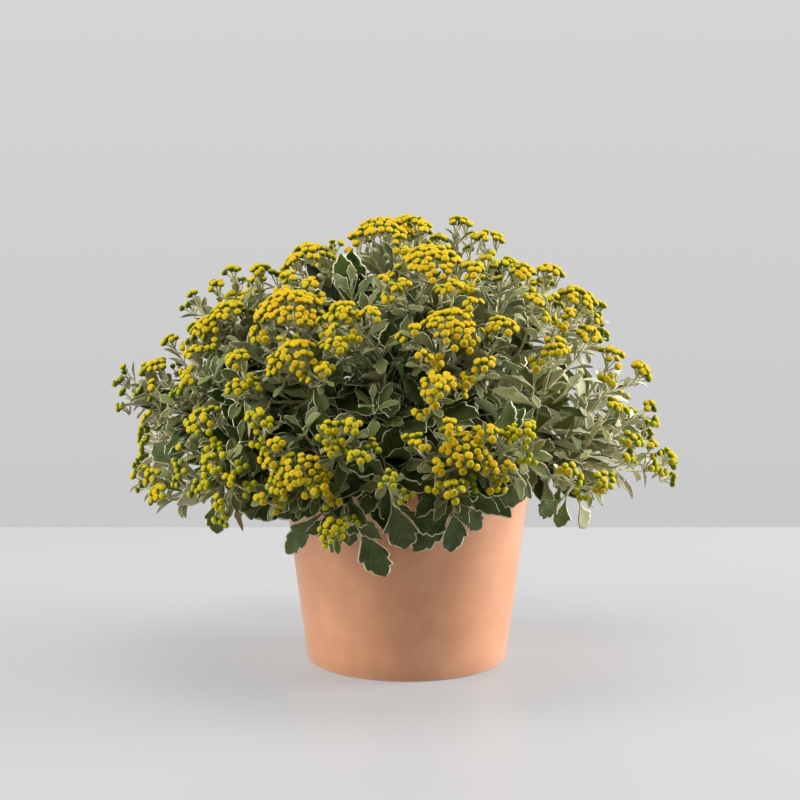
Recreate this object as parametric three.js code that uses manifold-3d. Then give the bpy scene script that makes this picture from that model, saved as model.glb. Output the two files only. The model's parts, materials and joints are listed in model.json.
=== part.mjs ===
import * as THREE from 'three';
import { mergeVertices } from 'three/addons/utils/BufferGeometryUtils.js';
import Module from 'manifold-3d';

const wasm = await Module();
wasm.setup();

// Potted gold and silver chrysanthemum, millimetres, +Z up, front towards -Y.
// The pot stands on z = 0 and its axis passes through the origin.

// Rimless tapered terracotta pot
const POT_TOP_RADIUS = 75;
const POT_FOOT_RADIUS = 59;
const POT_HEIGHT = 125;
const POT_WALL = 5;
const POT_FLOOR = 6;
const POT_FOOT_CHAMFER = 1.4;
const POT_RIM_EASE = 0.8;
const POT_FACETS = 36;
const FIT_GAP = 0.3;

// Soil and the plain holes that the stems stand in
const SOIL_TOP = 115;
const SOCKET_DEPTH = 20;
const SOCKET_SIDES = 6;
const SOIL_GAP = 0.32;

// Eye that the front readings were taken from, and how far it looks down
const EYE = new THREE.Vector3(-4, -1500, 391);
const EYE_DIP = THREE.MathUtils.degToRad(8.94);

// Crown of the plant, an ellipsoid that the flowers lie on
const CROWN_CENTRE = new THREE.Vector3(0, 0, 120);
const CROWN_REACH = new THREE.Vector3(168, 155, 144);
const FULL_CHORD = 110;
const LEAST_CHORD_SHARE = 0.4;

// Flower bunches: the way they face, their dome, and the florets raised on it
const FACE_OUTWARD = new THREE.Vector3(0.5, 0.8, 0.8);
const FACE_UPWARD = 0.34;
const BUNCH_SINK = 0.2;
const DOME_DROP = 0.58;
const FLORET_RISE = 2.3;
const FLORET_RISE_SPREAD = 0.8;
const FLORET_SWAY = 0.5;
const FLORET_SINK = 1.6;

// Stalks: a bunch's stalk starts below it by a share of its radius and a drop
const NECK_SHARE = 0.55;
const NECK_DROP = 3;
const STALK_RADIUS = 0.9;
const STALK_SIDES = 3;
const MAIN_STALK_RADIUS = 1.6;
const MAIN_STALK_SIDES = 4;
const MAIN_STALK_TAPER = 0.8;
const STALK_PITCH = 3.2;
const FIRST_JOINT = 4;
const MAIN_STALK_LEAST = 22;
const MAIN_STALK_PER_SPREAD = 0.4;
const LEAD_TO_SPLIT = 0.6;

// Stems
const TRUNK_RADIUS = 2.4;
const TRUNK_SIDES = 4;
const BRANCH_RADIUS = 1.7;
const BRANCH_SIDES = 3;
const BRANCH_TAPER = 0.8;
const STEM_STEPS = 3;
const ROOT_LIMIT = 53;
const ROOT_SHARE_HIGH = 0.24;
const ROOT_SHARE_LOW = 0.38;
const HIGH_SPRAYS = 260;
const LOW_SPRAYS = 80;
const SPLIT_SHARE = 0.5;
const SPLIT_FLOOR = 150;
const SPLIT_FLOOR_FROM = 45;
const SPLIT_FLOOR_SLOPE = 0.1;
const COLLAR_HEIGHT = 4;
const TRUNK_RISE = 0.55;
const TRUNK_BEND = 0.3;
const BRANCH_START = 0.3;
const BRANCH_END = 0.4;

// Leaves
const LEAVES_PER_BRANCH = 4;
const LEAF_LONGEST = 42;
const LEAF_SHORTEST = 24;
const LEAF_ASPECT = 0.46;
const LEAF_PITCH = 7.5;
const LEAF_THICKNESS = 1.5;
const LEAF_THICK_AT_FOOT = 1.1;
const LEAF_THINNING = 0.4;
const LEAF_FOLD = 0.18;
const LEAF_CLEARANCE = 1.2;
const CLEARANCE_WIDENING = 0.06;
const CLEARANCE_LENGTHENING = 0.02;
const LEAF_FREE_FOOT = 0.15;
const LEAF_FIRST = 3;
const LEAF_LAST_SHARE = 0.95;
const LEAF_TRIES = 14;
const LEAF_GROWTH = 4;
const LEAF_TURNS = [0, 0.7, -0.7, 1.5];
const LEAF_SCALES = [1, 0.9, 0.8];
const LEAF_TILT = 52;
const LEAF_TILT_SPREAD = 18;
const LEAF_LENGTH_RANGE = 0.16;
const LEAF_FACE_UP = 0.8;
const SHOW_LEAF_OUTWARD = 0.6;
const LEAF_DROOP = 0.1;
const LEAF_DROOP_SPREAD = 0.12;
const BRANCH_TURN = 2.1;
const GOLDEN_ANGLE = THREE.MathUtils.degToRad(137.508);

const UP = new THREE.Vector3(0, 0, 1);

// Front sprays: number of the stem, then each bunch as across, up and radius
const FRONT_SPRAYS = [
  [1, [-15, 254, 20], [3, 257, 10], [-4, 248, 6]],
  [2, [31, 258, 10], [48, 249, 12]],
  [1, [-58, 239, 16], [-70, 226, 6], [-43, 244, 7]],
  [2, [15, 236, 21], [40, 230, 10], [-2, 221, 7], [28, 219, 9], [-14, 223, 6]],
  [3, [68, 228, 11], [85, 228, 10], [76, 210, 7]],
  [3, [101, 214, 14], [87, 213, 6], [97, 203, 6]],
  [4, [-127, 214, 5], [-113, 220, 8], [-104, 228, 8], [-88, 230, 9]],
  [4, [-107, 206, 13], [-119, 196, 12]],
  [5, [-70, 208, 21], [-57, 222, 7], [-87, 199, 7]],
  [6, [-37, 204, 11], [-21, 204, 8], [-43, 194, 6], [-42, 185, 9]],
  [5, [-66, 180, 14], [-79, 174, 8], [-77, 188, 5], [-50, 170, 8]],
  [7, [-101, 176, 9], [-102, 160, 8]],
  [7, [-127, 180, 8], [-130, 163, 8], [-141, 188, 8]],
  [7, [-151, 171, 12], [-168, 171, 4], [-168, 158, 6], [-150, 160, 7]],
  [8, [-124, 139, 12], [-87, 141, 10], [-134, 124, 6]],
  [8, [-151, 107, 9], [-147, 96, 9], [-162, 107, 4]],
  [8, [-117, 112, 10], [-108, 120, 6], [-120, 101, 6], [-105, 105, 6], [-111, 92, 7], [-134, 108, 7]],
  [9, [-62, 109, 16], [-75, 98, 7], [-80, 113, 7], [-52, 99, 8], [-86, 94, 6], [-77, 127, 7]],
  [10, [-48, 133, 9], [-32, 136, 8], [-46, 121, 5], [-29, 119, 8]],
  [10, [-11, 105, 8]],
  [9, [-44, 74, 10]],
  [6, [27, 197, 18], [39, 208, 8], [5, 194, 6], [56, 196, 10], [47, 174, 8], [9, 179, 7]],
  [6, [18, 161, 13]],
  [11, [36, 121, 15], [26, 135, 8], [48, 133, 9], [50, 112, 7], [61, 113, 6], [9, 124, 7], [18, 112, 7]],
  [11, [28, 98, 9]],
  [11, [70, 133, 10]],
  [12, [89, 183, 10], [108, 191, 10]],
  [12, [123, 179, 10], [140, 171, 9]],
  [12, [122, 147, 8], [144, 149, 7]],
  [13, [134, 128, 9], [131, 117, 6], [147, 124, 7], [157, 117, 6]],
  [13, [94, 111, 8]],
  [13, [117, 103, 10]],
];

// Rear sprays: number of the stem, bearing from +Y towards +X and height angle, in degrees,
// and share of the crown's reach
const REAR_SPRAYS = [
  [14, -70, 5, 0.97],
  [14, -52, 36, 0.97],
  [14, -62, 62, 0.88],
  [15, -27, 3, 0.97],
  [15, 17, 5, 0.97],
  [15, 2, 38, 0.97],
  [15, 0, 72, 0.97],
  [16, 60, 3, 0.97],
  [16, 53, 36, 0.97],
  [16, 60, 62, 0.85],
];
const REAR_MAIN_RADIUS = 17;
const REAR_SIDE_RADIUS = 9.4;
const REAR_SIDE_BUNCHES = 3;
const REAR_SPREAD = 26.6;
const REAR_SPREAD_RANGE = 0.16;
const REAR_SIDE_DROP = 7;

// Large leaves of the front: stem, foot (across, up, depth inside the crown), tip, width
const SHOW_LEAVES = [
  [10, [-19, 85, 42], [-12, 50, 50], 16],
  [10, [-15, 97, 38], [-2, 66, 44], 19],
  [11, [24, 91, 40], [5, 65, 46], 14],
  [11, [26, 91, 38], [27, 64, 44], 14],
  [11, [32, 94, 36], [43, 79, 40], 13],
  [9, [-44, 89, 38], [-28, 77, 42], 14],
  [9, [-49, 88, 38], [-70, 65, 38], 12],
  [8, [-113, 94, 14], [-111, 75, 10], 13],
  [8, [-98, 97, 20], [-76, 84, 22], 15],
  [13, [93, 94, 22], [78, 86, 20], 12],
  [13, [95, 94, 20], [90, 77, 18], 12],
  [13, [103, 92, 18], [103, 78, 16], 10],
  [5, [-37, 146, 26], [-9, 147, 22], 14],
  [10, [-17, 112, 30], [-17, 139, 26], 17],
  [10, [-11, 113, 30], [-5, 138, 26], 15],
  [6, [25, 152, 22], [-1, 128, 18], 14],
  [6, [24, 151, 20], [43, 144, 16], 15],
  [8, [-128, 133, 12], [-144, 116, 8], 15],
  [7, [-140, 152, 12], [-160, 150, 6], 13],
];

// Leaf edge: share of the length and half-width as a share of the full width
const EDGE_PLAIN = [
  [0.6, 0.47],
  [0.66, 0.38],
  [0.85, 0.36],
];
const EDGE_LOBED = [
  [0.5, 0.38],
  [0.56, 0.32],
  [0.73, 0.5],
  [0.79, 0.39],
  [0.92, 0.25],
];
const RIB_PLAIN = [0.13, 0.7];
const RIB_LOBED = [0.13, 0.58, 0.82];

// Cells of a bunch from each radius up: middle of the lattice, reach of the cells, their span
const ROOT3 = Math.sqrt(3);
const CELL_CORNER = [0.5 * ROOT3, 0.5];
const CELL_LAYOUTS = [
  [0, [0, 0], 0.1, 1.1],
  [6.6, [0.5 * ROOT3, 0], 0.9, 1.75],
  [7.1, CELL_CORNER, 1.1, 2],
  [10.3, [0, 0], 1.8, 2.6],
  [13, CELL_CORNER, 2.7, 3.55],
  [17.5, [0, 0], 3.5, 4.3],
];
const LATTICE_ROWS = 4;

// Repeatable draw between 0 and 1 for a numbered place on the plant
function draw(n) {
  const s = Math.sin(n * 12.9898) * 43758.5453;
  return s - Math.floor(s);
}

function indexed(points, faces) {
  const geometry = new THREE.BufferGeometry();
  const flat = [];
  for (const p of points) flat.push(p.x, p.y, p.z);
  geometry.setAttribute('position', new THREE.Float32BufferAttribute(flat, 3));
  geometry.setIndex(faces.flat());
  return geometry;
}

// Closed solid from a surface; seams and poles are welded and the faces turned outwards
function solid(geometry) {
  const bare = new THREE.BufferGeometry();
  bare.setAttribute('position', geometry.getAttribute('position').clone());
  if (geometry.index) bare.setIndex(geometry.index.clone());
  const welded = mergeVertices(bare, 1e-4);
  const p = welded.getAttribute('position').array;
  const raw = welded.index.array;
  const faces = [];
  for (let i = 0; i < raw.length; i += 3) {
    const [a, b, c] = [raw[i], raw[i + 1], raw[i + 2]];
    if (a !== b && b !== c && c !== a) faces.push([a, b, c]);
  }
  const corner = (i) => new THREE.Vector3(p[3 * i], p[3 * i + 1], p[3 * i + 2]);
  let volume = 0;
  for (const [a, b, c] of faces) volume += corner(a).dot(corner(b).cross(corner(c)));
  if (volume < 0) for (const f of faces) f.reverse();
  const mesh = new wasm.Mesh({
    numProp: 3,
    vertProperties: new Float32Array(p),
    triVerts: new Uint32Array(faces.flat()),
  });
  return new wasm.Manifold(mesh);
}

function joined(solids) {
  return solids.reduce((whole, next) => whole.add(next));
}

function surface(body) {
  const mesh = body.getMesh();
  const geometry = new THREE.BufferGeometry();
  const flat = [];
  for (let i = 0; i < mesh.numVert; i++) {
    for (let k = 0; k < 3; k++) flat.push(mesh.vertProperties[i * mesh.numProp + k]);
  }
  geometry.setAttribute('position', new THREE.Float32BufferAttribute(flat, 3));
  geometry.setIndex([...mesh.triVerts]);
  const faceted = geometry.toNonIndexed();
  faceted.computeVertexNormals();
  return faceted;
}

// Two directions square to an axis
function crossPair(axis) {
  const side = Math.abs(axis.z) > 0.9 ? new THREE.Vector3(1, 0, 0) : UP.clone();
  const e1 = side.cross(axis).normalize();
  const e2 = axis.clone().cross(e1).normalize();
  return [e1, e2];
}

// Tapered tube along a run of points, closed by flat faces, the last one square to a way
function tube(path, radii, sides, lastWay) {
  const points = [];
  const faces = [];
  let [e1] = crossPair(path[1].clone().sub(path[0]).normalize());
  for (let i = 0; i < path.length; i++) {
    const before = path[Math.max(i - 1, 0)];
    const after = path[Math.min(i + 1, path.length - 1)];
    const along = i + 1 < path.length ? after.clone().sub(before).normalize() : lastWay;
    e1 = e1.clone().addScaledVector(along, -e1.dot(along)).normalize();
    const e2 = along.clone().cross(e1);
    for (let k = 0; k < sides; k++) {
      const turn = (2 * Math.PI * k) / sides;
      const p = path[i].clone().addScaledVector(e1, radii[i] * Math.cos(turn));
      points.push(p.addScaledVector(e2, radii[i] * Math.sin(turn)));
    }
  }
  for (let i = 0; i + 1 < path.length; i++) {
    for (let k = 0; k < sides; k++) {
      const a = i * sides + k;
      const b = i * sides + ((k + 1) % sides);
      faces.push([a, b, b + sides], [a, b + sides, a + sides]);
    }
  }
  const last = (path.length - 1) * sides;
  for (let k = 1; k + 1 < sides; k++) {
    faces.push([0, k + 1, k], [last, last + k, last + k + 1]);
  }
  return solid(indexed(points, faces));
}

// Point on the crown seen from the eye at a front reading, moved inside by a depth;
// near the outline, where the line of sight only grazes the crown, it lies farther round
function onCrown(across, up, depth = 0) {
  const plane = new THREE.Vector3(across, up * Math.sin(EYE_DIP), up * Math.cos(EYE_DIP));
  const reach = CROWN_REACH.clone().addScalar(-depth);
  const from = EYE.clone().sub(CROWN_CENTRE).divide(reach);
  const ray = plane.sub(EYE);
  const run = ray.clone().divide(reach);
  const a = run.dot(run);
  const b = from.dot(run);
  const c = from.dot(from) - 1;
  const half = Math.sqrt(Math.max(0, b * b - a * c)) / a;
  const share = Math.min(1, Math.max(LEAST_CHORD_SHARE, (half * ray.length()) / FULL_CHORD));
  return EYE.clone().addScaledVector(ray, -b / a - share * half);
}

function facing(point) {
  const outward = point.clone().sub(CROWN_CENTRE).divide(CROWN_REACH).divide(CROWN_REACH).normalize();
  return outward.multiply(FACE_OUTWARD).addScaledVector(UP, FACE_UPWARD).normalize();
}

// Cells of a bunch, each one floret: centres on a hexagonal lattice of unit cell radius
function floretCells(radius) {
  const [, middle, reach, span] = CELL_LAYOUTS.findLast(([least]) => radius >= least);
  const cells = [];
  for (let q = -LATTICE_ROWS; q <= LATTICE_ROWS; q++) {
    for (let t = -LATTICE_ROWS; t <= LATTICE_ROWS; t++) {
      const x = ROOT3 * (q + t / 2) - middle[0];
      const y = 1.5 * t - middle[1];
      if (Math.hypot(x, y) < reach) cells.push([x, y]);
    }
  }
  return [cells, radius / span];
}

// Top of a bunch's stalk
function neckOf({ centre, axis, radius }) {
  return centre.clone().addScaledVector(axis, -NECK_SHARE * radius - NECK_DROP);
}

// Bunch of florets on a stalk: raised cells on a dome, drawn together into the stalk below
function bunch(spot, stalk, seed) {
  const { centre, axis, radius } = spot;
  const [e1, e2] = crossPair(axis);
  const [cells, size] = floretCells(radius);
  const points = [];
  const faces = [];
  const corners = new Map();
  const place = (x, y, rise) => {
    const fall = DOME_DROP * radius * ((x * x + y * y) / (radius * radius) - 0.5);
    const p = centre.clone().addScaledVector(e1, x).addScaledVector(e2, y);
    points.push(p.addScaledVector(axis, rise - fall));
    return points.length - 1;
  };
  const edges = new Map();
  cells.forEach(([cx, cy], c) => {
    const sway = [0, 1].map((k) => FLORET_SWAY * (draw(seed + 7 * c + k) - 0.5));
    const rise = FLORET_RISE + FLORET_RISE_SPREAD * (draw(seed + 7 * c + 2) - 0.5);
    const top = place(size * cx + sway[0], size * cy + sway[1], rise);
    const ring = [];
    for (let k = 0; k < 6; k++) {
      const turn = Math.PI / 6 + (Math.PI * k) / 3;
      const [x, y] = [cx + Math.cos(turn), cy + Math.sin(turn)];
      const key = `${Math.round(x * 50)},${Math.round(y * 50)}`;
      if (!corners.has(key)) corners.set(key, place(size * x, size * y, -FLORET_SINK));
      ring.push(corners.get(key));
    }
    for (let k = 0; k < 6; k++) {
      const [a, b] = [ring[k], ring[(k + 1) % 6]];
      faces.push([top, a, b]);
      edges.set(`${a},${b}`, [a, b]);
    }
  });
  const rim = [...edges.values()].filter(([a, b]) => !edges.has(`${b},${a}`));
  const next = new Map(rim);
  const loop = [rim[0][0]];
  while (next.get(loop.at(-1)) !== loop[0]) loop.push(next.get(loop.at(-1)));

  const { sides, radii, foot } = stalk;
  const neck = neckOf(spot);
  const down = foot.clone().sub(neck).normalize();
  const f1 = e1.clone().addScaledVector(down, -e1.dot(down)).normalize();
  const f2 = f1.clone().cross(down);
  const first = points.length;
  [neck, foot].forEach((at, row) => {
    for (let k = 0; k < sides; k++) {
      const turn = (2 * Math.PI * k) / sides;
      const p = at.clone().addScaledVector(f1, radii[row] * Math.cos(turn));
      points.push(p.addScaledVector(f2, radii[row] * Math.sin(turn)));
    }
  });
  // The rim narrows to the neck: each rim edge goes to the nearest neck corner
  const nearest = (i) => {
    const d = points[i].clone().sub(centre);
    const k = Math.round((Math.atan2(d.dot(e2), d.dot(e1)) / (2 * Math.PI)) * sides);
    return ((k % sides) + sides) % sides;
  };
  for (let i = 0; i < loop.length; i++) {
    const [a, b] = [loop[i], loop[(i + 1) % loop.length]];
    const [ka, kb] = [nearest(a), nearest(b)];
    faces.push([b, a, first + ka]);
    if (ka !== kb) faces.push([b, first + ka, first + kb]);
  }
  for (let k = 0; k < sides; k++) {
    const a = first + k;
    const b = first + ((k + 1) % sides);
    faces.push([b, a, a + sides], [b, a + sides, b + sides]);
  }
  const end = first + sides;
  for (let k = 1; k + 1 < sides; k++) faces.push([end, end + k + 1, end + k]);
  return solid(indexed(points, faces));
}

// Lay every spray out before anything is built: bunches, middle and the way it faces
const sprays = [];
for (const [stem, ...bunches] of FRONT_SPRAYS) {
  const spots = bunches.map(([across, up, radius]) => {
    const centre = onCrown(across, up, radius * BUNCH_SINK);
    return { centre, axis: facing(centre), radius };
  });
  sprays.push({ stem, spots });
}
for (const [index, [stem, bearing, height, share]] of REAR_SPRAYS.entries()) {
  const turn = THREE.MathUtils.degToRad(bearing);
  const lift = THREE.MathUtils.degToRad(height);
  const way = new THREE.Vector3(
    Math.sin(turn) * Math.cos(lift),
    Math.cos(turn) * Math.cos(lift),
    Math.sin(lift),
  );
  const centre = way.multiply(CROWN_REACH).multiplyScalar(share).add(CROWN_CENTRE);
  const axis = facing(centre);
  const [e1, e2] = crossPair(axis);
  const spots = [{ centre, axis, radius: REAR_MAIN_RADIUS }];
  for (let k = 0; k < REAR_SIDE_BUNCHES; k++) {
    const around = (2 * Math.PI * (k + 0.5 * draw(index + 3))) / REAR_SIDE_BUNCHES + index;
    const out = REAR_SPREAD * (1 + REAR_SPREAD_RANGE * draw(10 * index + k));
    const p = centre.clone().addScaledVector(e1, out * Math.cos(around));
    p.addScaledVector(e2, out * Math.sin(around)).addScaledVector(axis, -REAR_SIDE_DROP);
    spots.push({ centre: p, axis: facing(p), radius: REAR_SIDE_RADIUS });
  }
  sprays.push({ stem, spots });
}
for (const spray of sprays) {
  spray.middle = new THREE.Vector3();
  spray.axis = new THREE.Vector3();
  let weight = 0;
  for (const { centre, axis, radius } of spray.spots) {
    spray.middle.addScaledVector(centre, radius);
    spray.axis.addScaledVector(axis, radius);
    weight += radius;
  }
  spray.middle.divideScalar(weight);
  spray.axis.normalize();
}

// Every stem: its root in the soil and the point where it divides
const stemCount = Math.max(...sprays.map((s) => s.stem));
const stems = [];
for (let number = 1; number <= stemCount; number++) {
  const own = sprays.filter((s) => s.stem === number);
  const mean = new THREE.Vector3();
  for (const s of own) mean.addScaledVector(s.middle, 1 / own.length);
  const low = (HIGH_SPRAYS - mean.z) / (HIGH_SPRAYS - LOW_SPRAYS);
  const share = ROOT_SHARE_HIGH + (ROOT_SHARE_LOW - ROOT_SHARE_HIGH) * low;
  const root = new THREE.Vector3(mean.x * share, mean.y * share, SOIL_TOP);
  const far = Math.hypot(root.x, root.y);
  if (far > ROOT_LIMIT) root.set((root.x * ROOT_LIMIT) / far, (root.y * ROOT_LIMIT) / far, SOIL_TOP);
  const split = root.clone().lerp(mean, SPLIT_SHARE);
  const rim = Math.hypot(split.x, split.y);
  const floor = SPLIT_FLOOR - SPLIT_FLOOR_SLOPE * (rim - SPLIT_FLOOR_FROM);
  if (rim > SPLIT_FLOOR_FROM) split.z = Math.max(split.z, floor);
  stems.push({ number, root, split, own });
}

// Foot of each spray: its main stalk comes down straight to the tip of the branch
for (const { split, own } of stems) {
  for (const spray of own) {
    const { middle, spots } = spray;
    const main = spots[0];
    const spread = Math.max(...spots.map((s) => s.centre.distanceTo(main.centre)));
    const back = NECK_SHARE * main.radius + MAIN_STALK_LEAST + MAIN_STALK_PER_SPREAD * spread;
    const reach = middle.clone().sub(split).normalize();
    const lead = spray.axis.clone().addScaledVector(reach, LEAD_TO_SPLIT).normalize();
    spray.foot = main.centre.clone().lerp(middle, 0.5).addScaledVector(lead, -back);
    spray.neck = neckOf(main);
    spray.lead = spray.neck.clone().sub(spray.foot).normalize();
  }
}

function curve(p0, p1, p2, p3) {
  return new THREE.CubicBezierCurve3(p0, p1, p2, p3).getPoints(STEM_STEPS);
}

// One spray: the side stalks leave the main one in turn, the widest reaching from lowest
function sprayBody(spray, index) {
  const { spots, foot, lead, neck } = spray;
  const radii = [MAIN_STALK_TAPER * MAIN_STALK_RADIUS, MAIN_STALK_RADIUS];
  const bodies = [bunch(spots[0], { sides: MAIN_STALK_SIDES, radii, foot }, 100 * index)];
  const room = neck.distanceTo(foot) - NECK_DROP - FIRST_JOINT;
  const reach = (spot) => spot.centre.clone().sub(foot).cross(lead).length();
  const rest = spots.slice(1).sort((a, b) => reach(b) - reach(a));
  const pitch = Math.min(STALK_PITCH, room / Math.max(1, rest.length));
  rest.forEach((spot, k) => {
    const joint = foot.clone().addScaledVector(lead, FIRST_JOINT + pitch * (k + 0.5));
    const side = { sides: STALK_SIDES, radii: [STALK_RADIUS, STALK_RADIUS], foot: joint };
    bodies.push(bunch(spot, side, 100 * index + 11 * (k + 1)));
  });
  return joined(bodies);
}

const sprayBodies = sprays.map(sprayBody);

// Wooden part of every stem: trunk in its hole, then a branch up to each hub
for (const stem of stems) {
  const { root, split, own } = stem;
  const foot = root.clone().setZ(SOIL_TOP - SOCKET_DEPTH + FIT_GAP);
  const collar = root.clone().setZ(SOIL_TOP + COLLAR_HEIGHT);
  const rise = collar.clone().setZ(collar.z + TRUNK_RISE * (split.z - collar.z));
  const lean = split.clone().sub(rise).normalize();
  const bend = split.clone().addScaledVector(lean, -TRUNK_BEND * split.distanceTo(collar));
  const trunk = [foot, ...curve(collar, rise, bend, split)];
  stem.branches = own.map((spray, b) => {
    const tip = spray.foot.clone().addScaledVector(spray.lead, -FIT_GAP);
    const length = split.distanceTo(tip);
    const away = tip.clone().sub(split).normalize();
    if (b === 0) away.add(lean).normalize();
    const start = split.clone().addScaledVector(away, BRANCH_START * length);
    const end = tip.clone().addScaledVector(spray.lead, -BRANCH_END * length);
    return curve(split, start, end, tip);
  });
  const main = [...trunk.slice(0, -1), ...stem.branches[0]];
  const girth = (i) => (i <= trunk.length - 1 ? TRUNK_RADIUS : BRANCH_RADIUS);
  const bodies = [tube(main, main.map((_, i) => girth(i)), TRUNK_SIDES, own[0].lead)];
  const slim = BRANCH_RADIUS * BRANCH_TAPER;
  stem.branches.slice(1).forEach((path, b) => {
    const radii = path.map((_, i) => (i ? BRANCH_RADIUS : slim));
    bodies.push(tube(path, radii, BRANCH_SIDES, own[b + 1].lead));
  });
  stem.wood = joined(bodies);
}

// Blade from a pointed foot along a way, drooping, with its lobed edge and a thick midrib
function blade(leaf, extra) {
  const { foot, way, face, length, width, droop, lobed } = leaf;
  const edge = lobed ? EDGE_LOBED : EDGE_PLAIN;
  const ribs = lobed ? RIB_LOBED : RIB_PLAIN;
  const side = way.clone().cross(face).normalize();
  const normal = side.clone().cross(way).normalize();
  const at = (share, across, lift) => {
    const p = foot.clone().addScaledVector(way, share * length).addScaledVector(side, across);
    p.addScaledVector(normal, lift - LEAF_FOLD * Math.abs(across));
    return p.addScaledVector(UP, -droop * length * share * share);
  };
  const grown = 1 + CLEARANCE_WIDENING * extra;
  const half = (share) => 0.5 * (LEAF_THICKNESS * (LEAF_THICK_AT_FOOT - LEAF_THINNING * share) + extra);
  const points = [];
  const add = (p) => points.push(p) - 1;
  const tip = add(at(1 + CLEARANCE_LENGTHENING * extra, 0, 0));
  const root = add(at(0, 0, 0));
  const rims = [1, -1].map((hand) => edge.map(([s, h]) => add(at(s, hand * h * width * grown, 0))));
  const spines = [1, -1].map((hand) => ribs.map((s) => add(at(s, 0, hand * half(s)))));
  const faces = [];
  for (const hand of [0, 1]) {
    const chain = [root, ...rims[hand], tip];
    const shares = [0, ...edge.map((e) => e[0]), 1];
    for (const layer of [0, 1]) {
      const spine = [root, ...spines[layer]];
      const stations = [0, ...ribs];
      const put = (a, b, c) => faces.push(hand === layer ? [a, b, c] : [c, b, a]);
      put(chain[0], chain[1], spine[1]);
      let i = 1;
      let j = 1;
      while (i + 1 < chain.length) {
        if (j + 1 < spine.length && stations[j + 1] <= shares[i + 1]) {
          put(chain[i], spine[j + 1], spine[j]);
          j += 1;
        } else {
          put(chain[i], chain[i + 1], spine[j]);
          i += 1;
        }
      }
    }
  }
  return solid(indexed(points, faces));
}

const placed = [];
function reserve(body, owner) {
  placed.push({ body, owner, box: body.boundingBox() });
}
function meets(a, b) {
  return [0, 1, 2].every((k) => a.min[k] < b.max[k] && b.min[k] < a.max[k]);
}
function isClear(body, owner) {
  const box = body.boundingBox();
  return placed.every((other) => {
    if (other.owner === owner || !meets(box, other.box)) return true;
    return body.intersect(other.body).isEmpty();
  });
}

// Pot: one turned profile, its foot chamfered and its rim eased
function pot() {
  const inner = (z) => POT_FOOT_RADIUS + ((POT_TOP_RADIUS - POT_FOOT_RADIUS) * z) / POT_HEIGHT - POT_WALL;
  const profile = [
    [0, 0],
    [POT_FOOT_RADIUS - POT_FOOT_CHAMFER, 0],
    [POT_FOOT_RADIUS, POT_FOOT_CHAMFER],
    [POT_TOP_RADIUS, POT_HEIGHT - POT_RIM_EASE],
    [POT_TOP_RADIUS - POT_RIM_EASE, POT_HEIGHT],
    [POT_TOP_RADIUS - POT_WALL + POT_RIM_EASE, POT_HEIGHT],
    [POT_TOP_RADIUS - POT_WALL, POT_HEIGHT - POT_RIM_EASE],
    [inner(POT_FLOOR), POT_FLOOR],
    [0, POT_FLOOR],
  ].map(([r, z]) => new THREE.Vector2(r, z));
  return solid(new THREE.LatheGeometry(profile, POT_FACETS).rotateX(Math.PI / 2));
}

// Soil: fills the pot to below its rim and holds one plain hole for each stem
function soil() {
  const radiusAt = (z) => {
    const outer = POT_FOOT_RADIUS + ((POT_TOP_RADIUS - POT_FOOT_RADIUS) * z) / POT_HEIGHT;
    return outer - POT_WALL - SOIL_GAP;
  };
  const base = POT_FLOOR + FIT_GAP;
  const profile = [
    [0, base],
    [radiusAt(base), base],
    [radiusAt(SOIL_TOP), SOIL_TOP],
    [0, SOIL_TOP],
  ].map(([r, z]) => new THREE.Vector2(r, z));
  let body = solid(new THREE.LatheGeometry(profile, POT_FACETS).rotateX(Math.PI / 2));
  const bore = (TRUNK_RADIUS + FIT_GAP) / Math.cos(Math.PI / SOCKET_SIDES);
  for (const { root } of stems) {
    const peg = new THREE.CylinderGeometry(bore, bore, SOCKET_DEPTH * 2, SOCKET_SIDES);
    peg.rotateX(Math.PI / 2).translate(root.x, root.y, SOIL_TOP);
    body = body.subtract(solid(peg));
  }
  return body;
}

const potBody = pot();
const soilBody = soil();
reserve(potBody, 'pot');
reserve(soilBody, 'soil');
sprayBodies.forEach((body, index) => reserve(body, `spray ${index}`));
for (const stem of stems) reserve(stem.wood, stem.number);

function nearestOn(stem, point) {
  let best = null;
  for (const path of stem.branches) {
    for (let i = 0; i + 1 < path.length; i++) {
      const line = new THREE.Line3(path[i], path[i + 1]);
      const p = line.closestPointToPoint(point, true, new THREE.Vector3());
      if (!best || p.distanceTo(point) < best.distanceTo(point)) best = p;
    }
  }
  return best;
}

for (const stem of stems) stem.leaves = [];

// A leaf is kept where, beyond its foot, it clears everything that stands already
function grow(stem, leaf) {
  const step = LEAF_FREE_FOOT * leaf.length;
  const foot = leaf.foot.clone().addScaledVector(leaf.way, step);
  const wide = blade({ ...leaf, foot, length: leaf.length - step }, LEAF_CLEARANCE);
  if (!isClear(wide)) return false;
  const body = blade(leaf, 0);
  if (!isClear(body, stem.number)) return false;
  stem.leaves.push(body);
  reserve(body, stem.number);
  return true;
}

// Large leaves of the front first
for (const [number, foot, tip, width] of SHOW_LEAVES) {
  const stem = stems[number - 1];
  const base = onCrown(...foot);
  const end = onCrown(...tip);
  const root = nearestOn(stem, base);
  const way = end.clone().sub(root);
  const length = way.length();
  way.normalize();
  const face = way.clone().multiplyScalar(-way.z).add(UP).addScaledVector(facing(end), SHOW_LEAF_OUTWARD);
  for (const scale of LEAF_SCALES) {
    const leaf = { foot: root, way, face, length: length * scale, width, droop: 0, lobed: true };
    if (grow(stem, leaf)) break;
  }
}

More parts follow.
